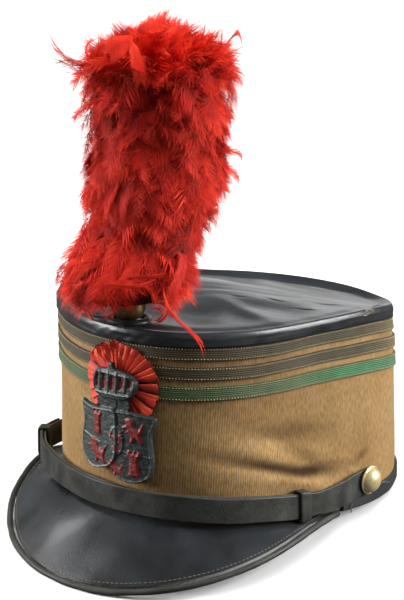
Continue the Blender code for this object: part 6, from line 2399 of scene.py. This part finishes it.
class SHAKO_OT_stage(bpy.types.Operator):
    """Pale floor, soft studio lights and the camera at the photograph's place"""

    bl_idname = "shako.stage"
    bl_label = "Stage"

    def execute(self, context):
        look = context.scene.shako_stage
        scene = context.scene
        scene.view_settings.view_transform = "Standard"
        self.floor(scene, look)
        for name, place, size, flatness, setting, shown in LIGHTS:
            light = bpy.data.lights.new(name, "AREA")
            light.shape = "ELLIPSE"
            light.size = size
            light.size_y = size * flatness
            light.energy = getattr(look, setting)
            lamp = bpy.data.objects.new(name, light)
            lamp.location = place
            lamp.visible_glossy = shown
            lamp.rotation_euler = (Vector((0, 0, 0.1)) - Vector(place)).to_track_quat("-Z", "Y").to_euler()
            scene.collection.objects.link(lamp)
        world = bpy.data.worlds.new("studio")
        world.use_nodes = True
        sky = world.node_tree.nodes["Background"]
        sky.inputs["Color"].default_value = colour("FFFFFF")
        sky.inputs["Strength"].default_value = look.sky_light
        scene.world = world
        self.camera(scene)
        return {"FINISHED"}

    def floor(self, scene, look):
        material, tree, shader = new_finish("Matt white paper sweep", roughness=0.9, specular_ior_level=0.2)
        place = add_node(tree, "ShaderNodeTexCoord").outputs["Object"]
        paper = add_node(tree, "ShaderNodeTexNoise", {"Vector": place, "Scale": 60.0, "Detail": 2.0})
        shades = {0: paper.outputs["Fac"], 6: colour(look.floor_hex), 7: colour("EFEFEF")}
        tone = add_node(tree, "ShaderNodeMix", shades, data_type="RGBA")
        tree.links.new(tone.outputs[2], shader.inputs["Base Color"])
        far = 12.0
        mesh = bpy.data.meshes.new("floor")
        mesh.from_pydata([(-far, -far, 0), (far, -far, 0), (far, far, 0), (-far, far, 0)], [], [(0, 1, 2, 3)])
        mesh.materials.append(material)
        floor = bpy.data.objects.new("floor", mesh)
        scene.collection.objects.link(floor)
        # The hat stands apart from its floor: the paper throws no light up on it and shows in no gloss.
        floor.visible_diffuse = False
        floor.visible_glossy = False

    def camera(self, scene):
        """The camera that was fitted to the photograph."""
        view = bpy.data.cameras.new("photograph")
        view.lens = CAMERA_LENS_MM
        view.clip_end = 20.0
        camera = bpy.data.objects.new("photograph", view)
        azimuth, elevation, roll = (math.radians(a) for a in (CAMERA_AZIMUTH, CAMERA_ELEVATION, CAMERA_ROLL))
        flat = math.cos(elevation)
        back = Vector((math.sin(azimuth) * flat, -math.cos(azimuth) * flat, math.sin(elevation)))
        right = Vector((math.cos(azimuth), math.sin(azimuth), 0.0))
        up = back.cross(right)
        side = right * math.cos(roll) + up * math.sin(roll)
        top = up * math.cos(roll) - right * math.sin(roll)
        stand = Matrix((side, top, back)).transposed().to_4x4()
        camera.matrix_world = Matrix.Translation(CAMERA_PLACE) @ stand
        scene.collection.objects.link(camera)
        scene.camera = camera


class SHAKO_PT_parts(bpy.types.Panel):
    bl_idname = "SHAKO_PT_parts"
    bl_label = "Dress shako"
    bl_space_type = "VIEW_3D"
    bl_region_type = "UI"
    bl_category = "Shako"

    def draw(self, context):
        for operator in OPERATORS:
            self.layout.operator(operator.bl_idname)
        for name in SETTINGS:
            settings = getattr(context.scene, name)
            box = self.layout.box()
            for label in settings.bl_rna.properties.keys():
                if label not in ("name", "rna_type"):
                    box.prop(settings, label)


SETTINGS = {
    "shako_cloth": ShakoCloth,
    "shako_leather": ShakoLeather,
    "shako_metal": ShakoMetal,
    "shako_plume": ShakoPlume,
    "shako_front": ShakoFront,
    "shako_stage": ShakoStage,
}
OPERATORS = (
    SHAKO_OT_stage,
    SHAKO_OT_body,
    SHAKO_OT_crown,
    SHAKO_OT_tapes,
    SHAKO_OT_back_band,
    SHAKO_OT_visor,
    SHAKO_OT_strap,
    SHAKO_OT_buttons,
    SHAKO_OT_socket,
    SHAKO_OT_plume,
    SHAKO_OT_cockade,
    SHAKO_OT_badge,
    SHAKO_OT_threads,
)


def register():
    for kind in (*SETTINGS.values(), *OPERATORS, SHAKO_PT_parts):
        bpy.utils.register_class(kind)
    for name, group in SETTINGS.items():
        setattr(bpy.types.Scene, name, bpy.props.PointerProperty(type=group))


def unregister():
    for name in SETTINGS:
        delattr(bpy.types.Scene, name)
    for kind in (SHAKO_PT_parts, *OPERATORS[::-1], *SETTINGS.values()):
        bpy.utils.unregister_class(kind)


def main():
    register()
    for operator in OPERATORS:
        group, label = operator.bl_idname.split(".")
        getattr(getattr(bpy.ops, group), label)()


if __name__ == "__main__":
    main()
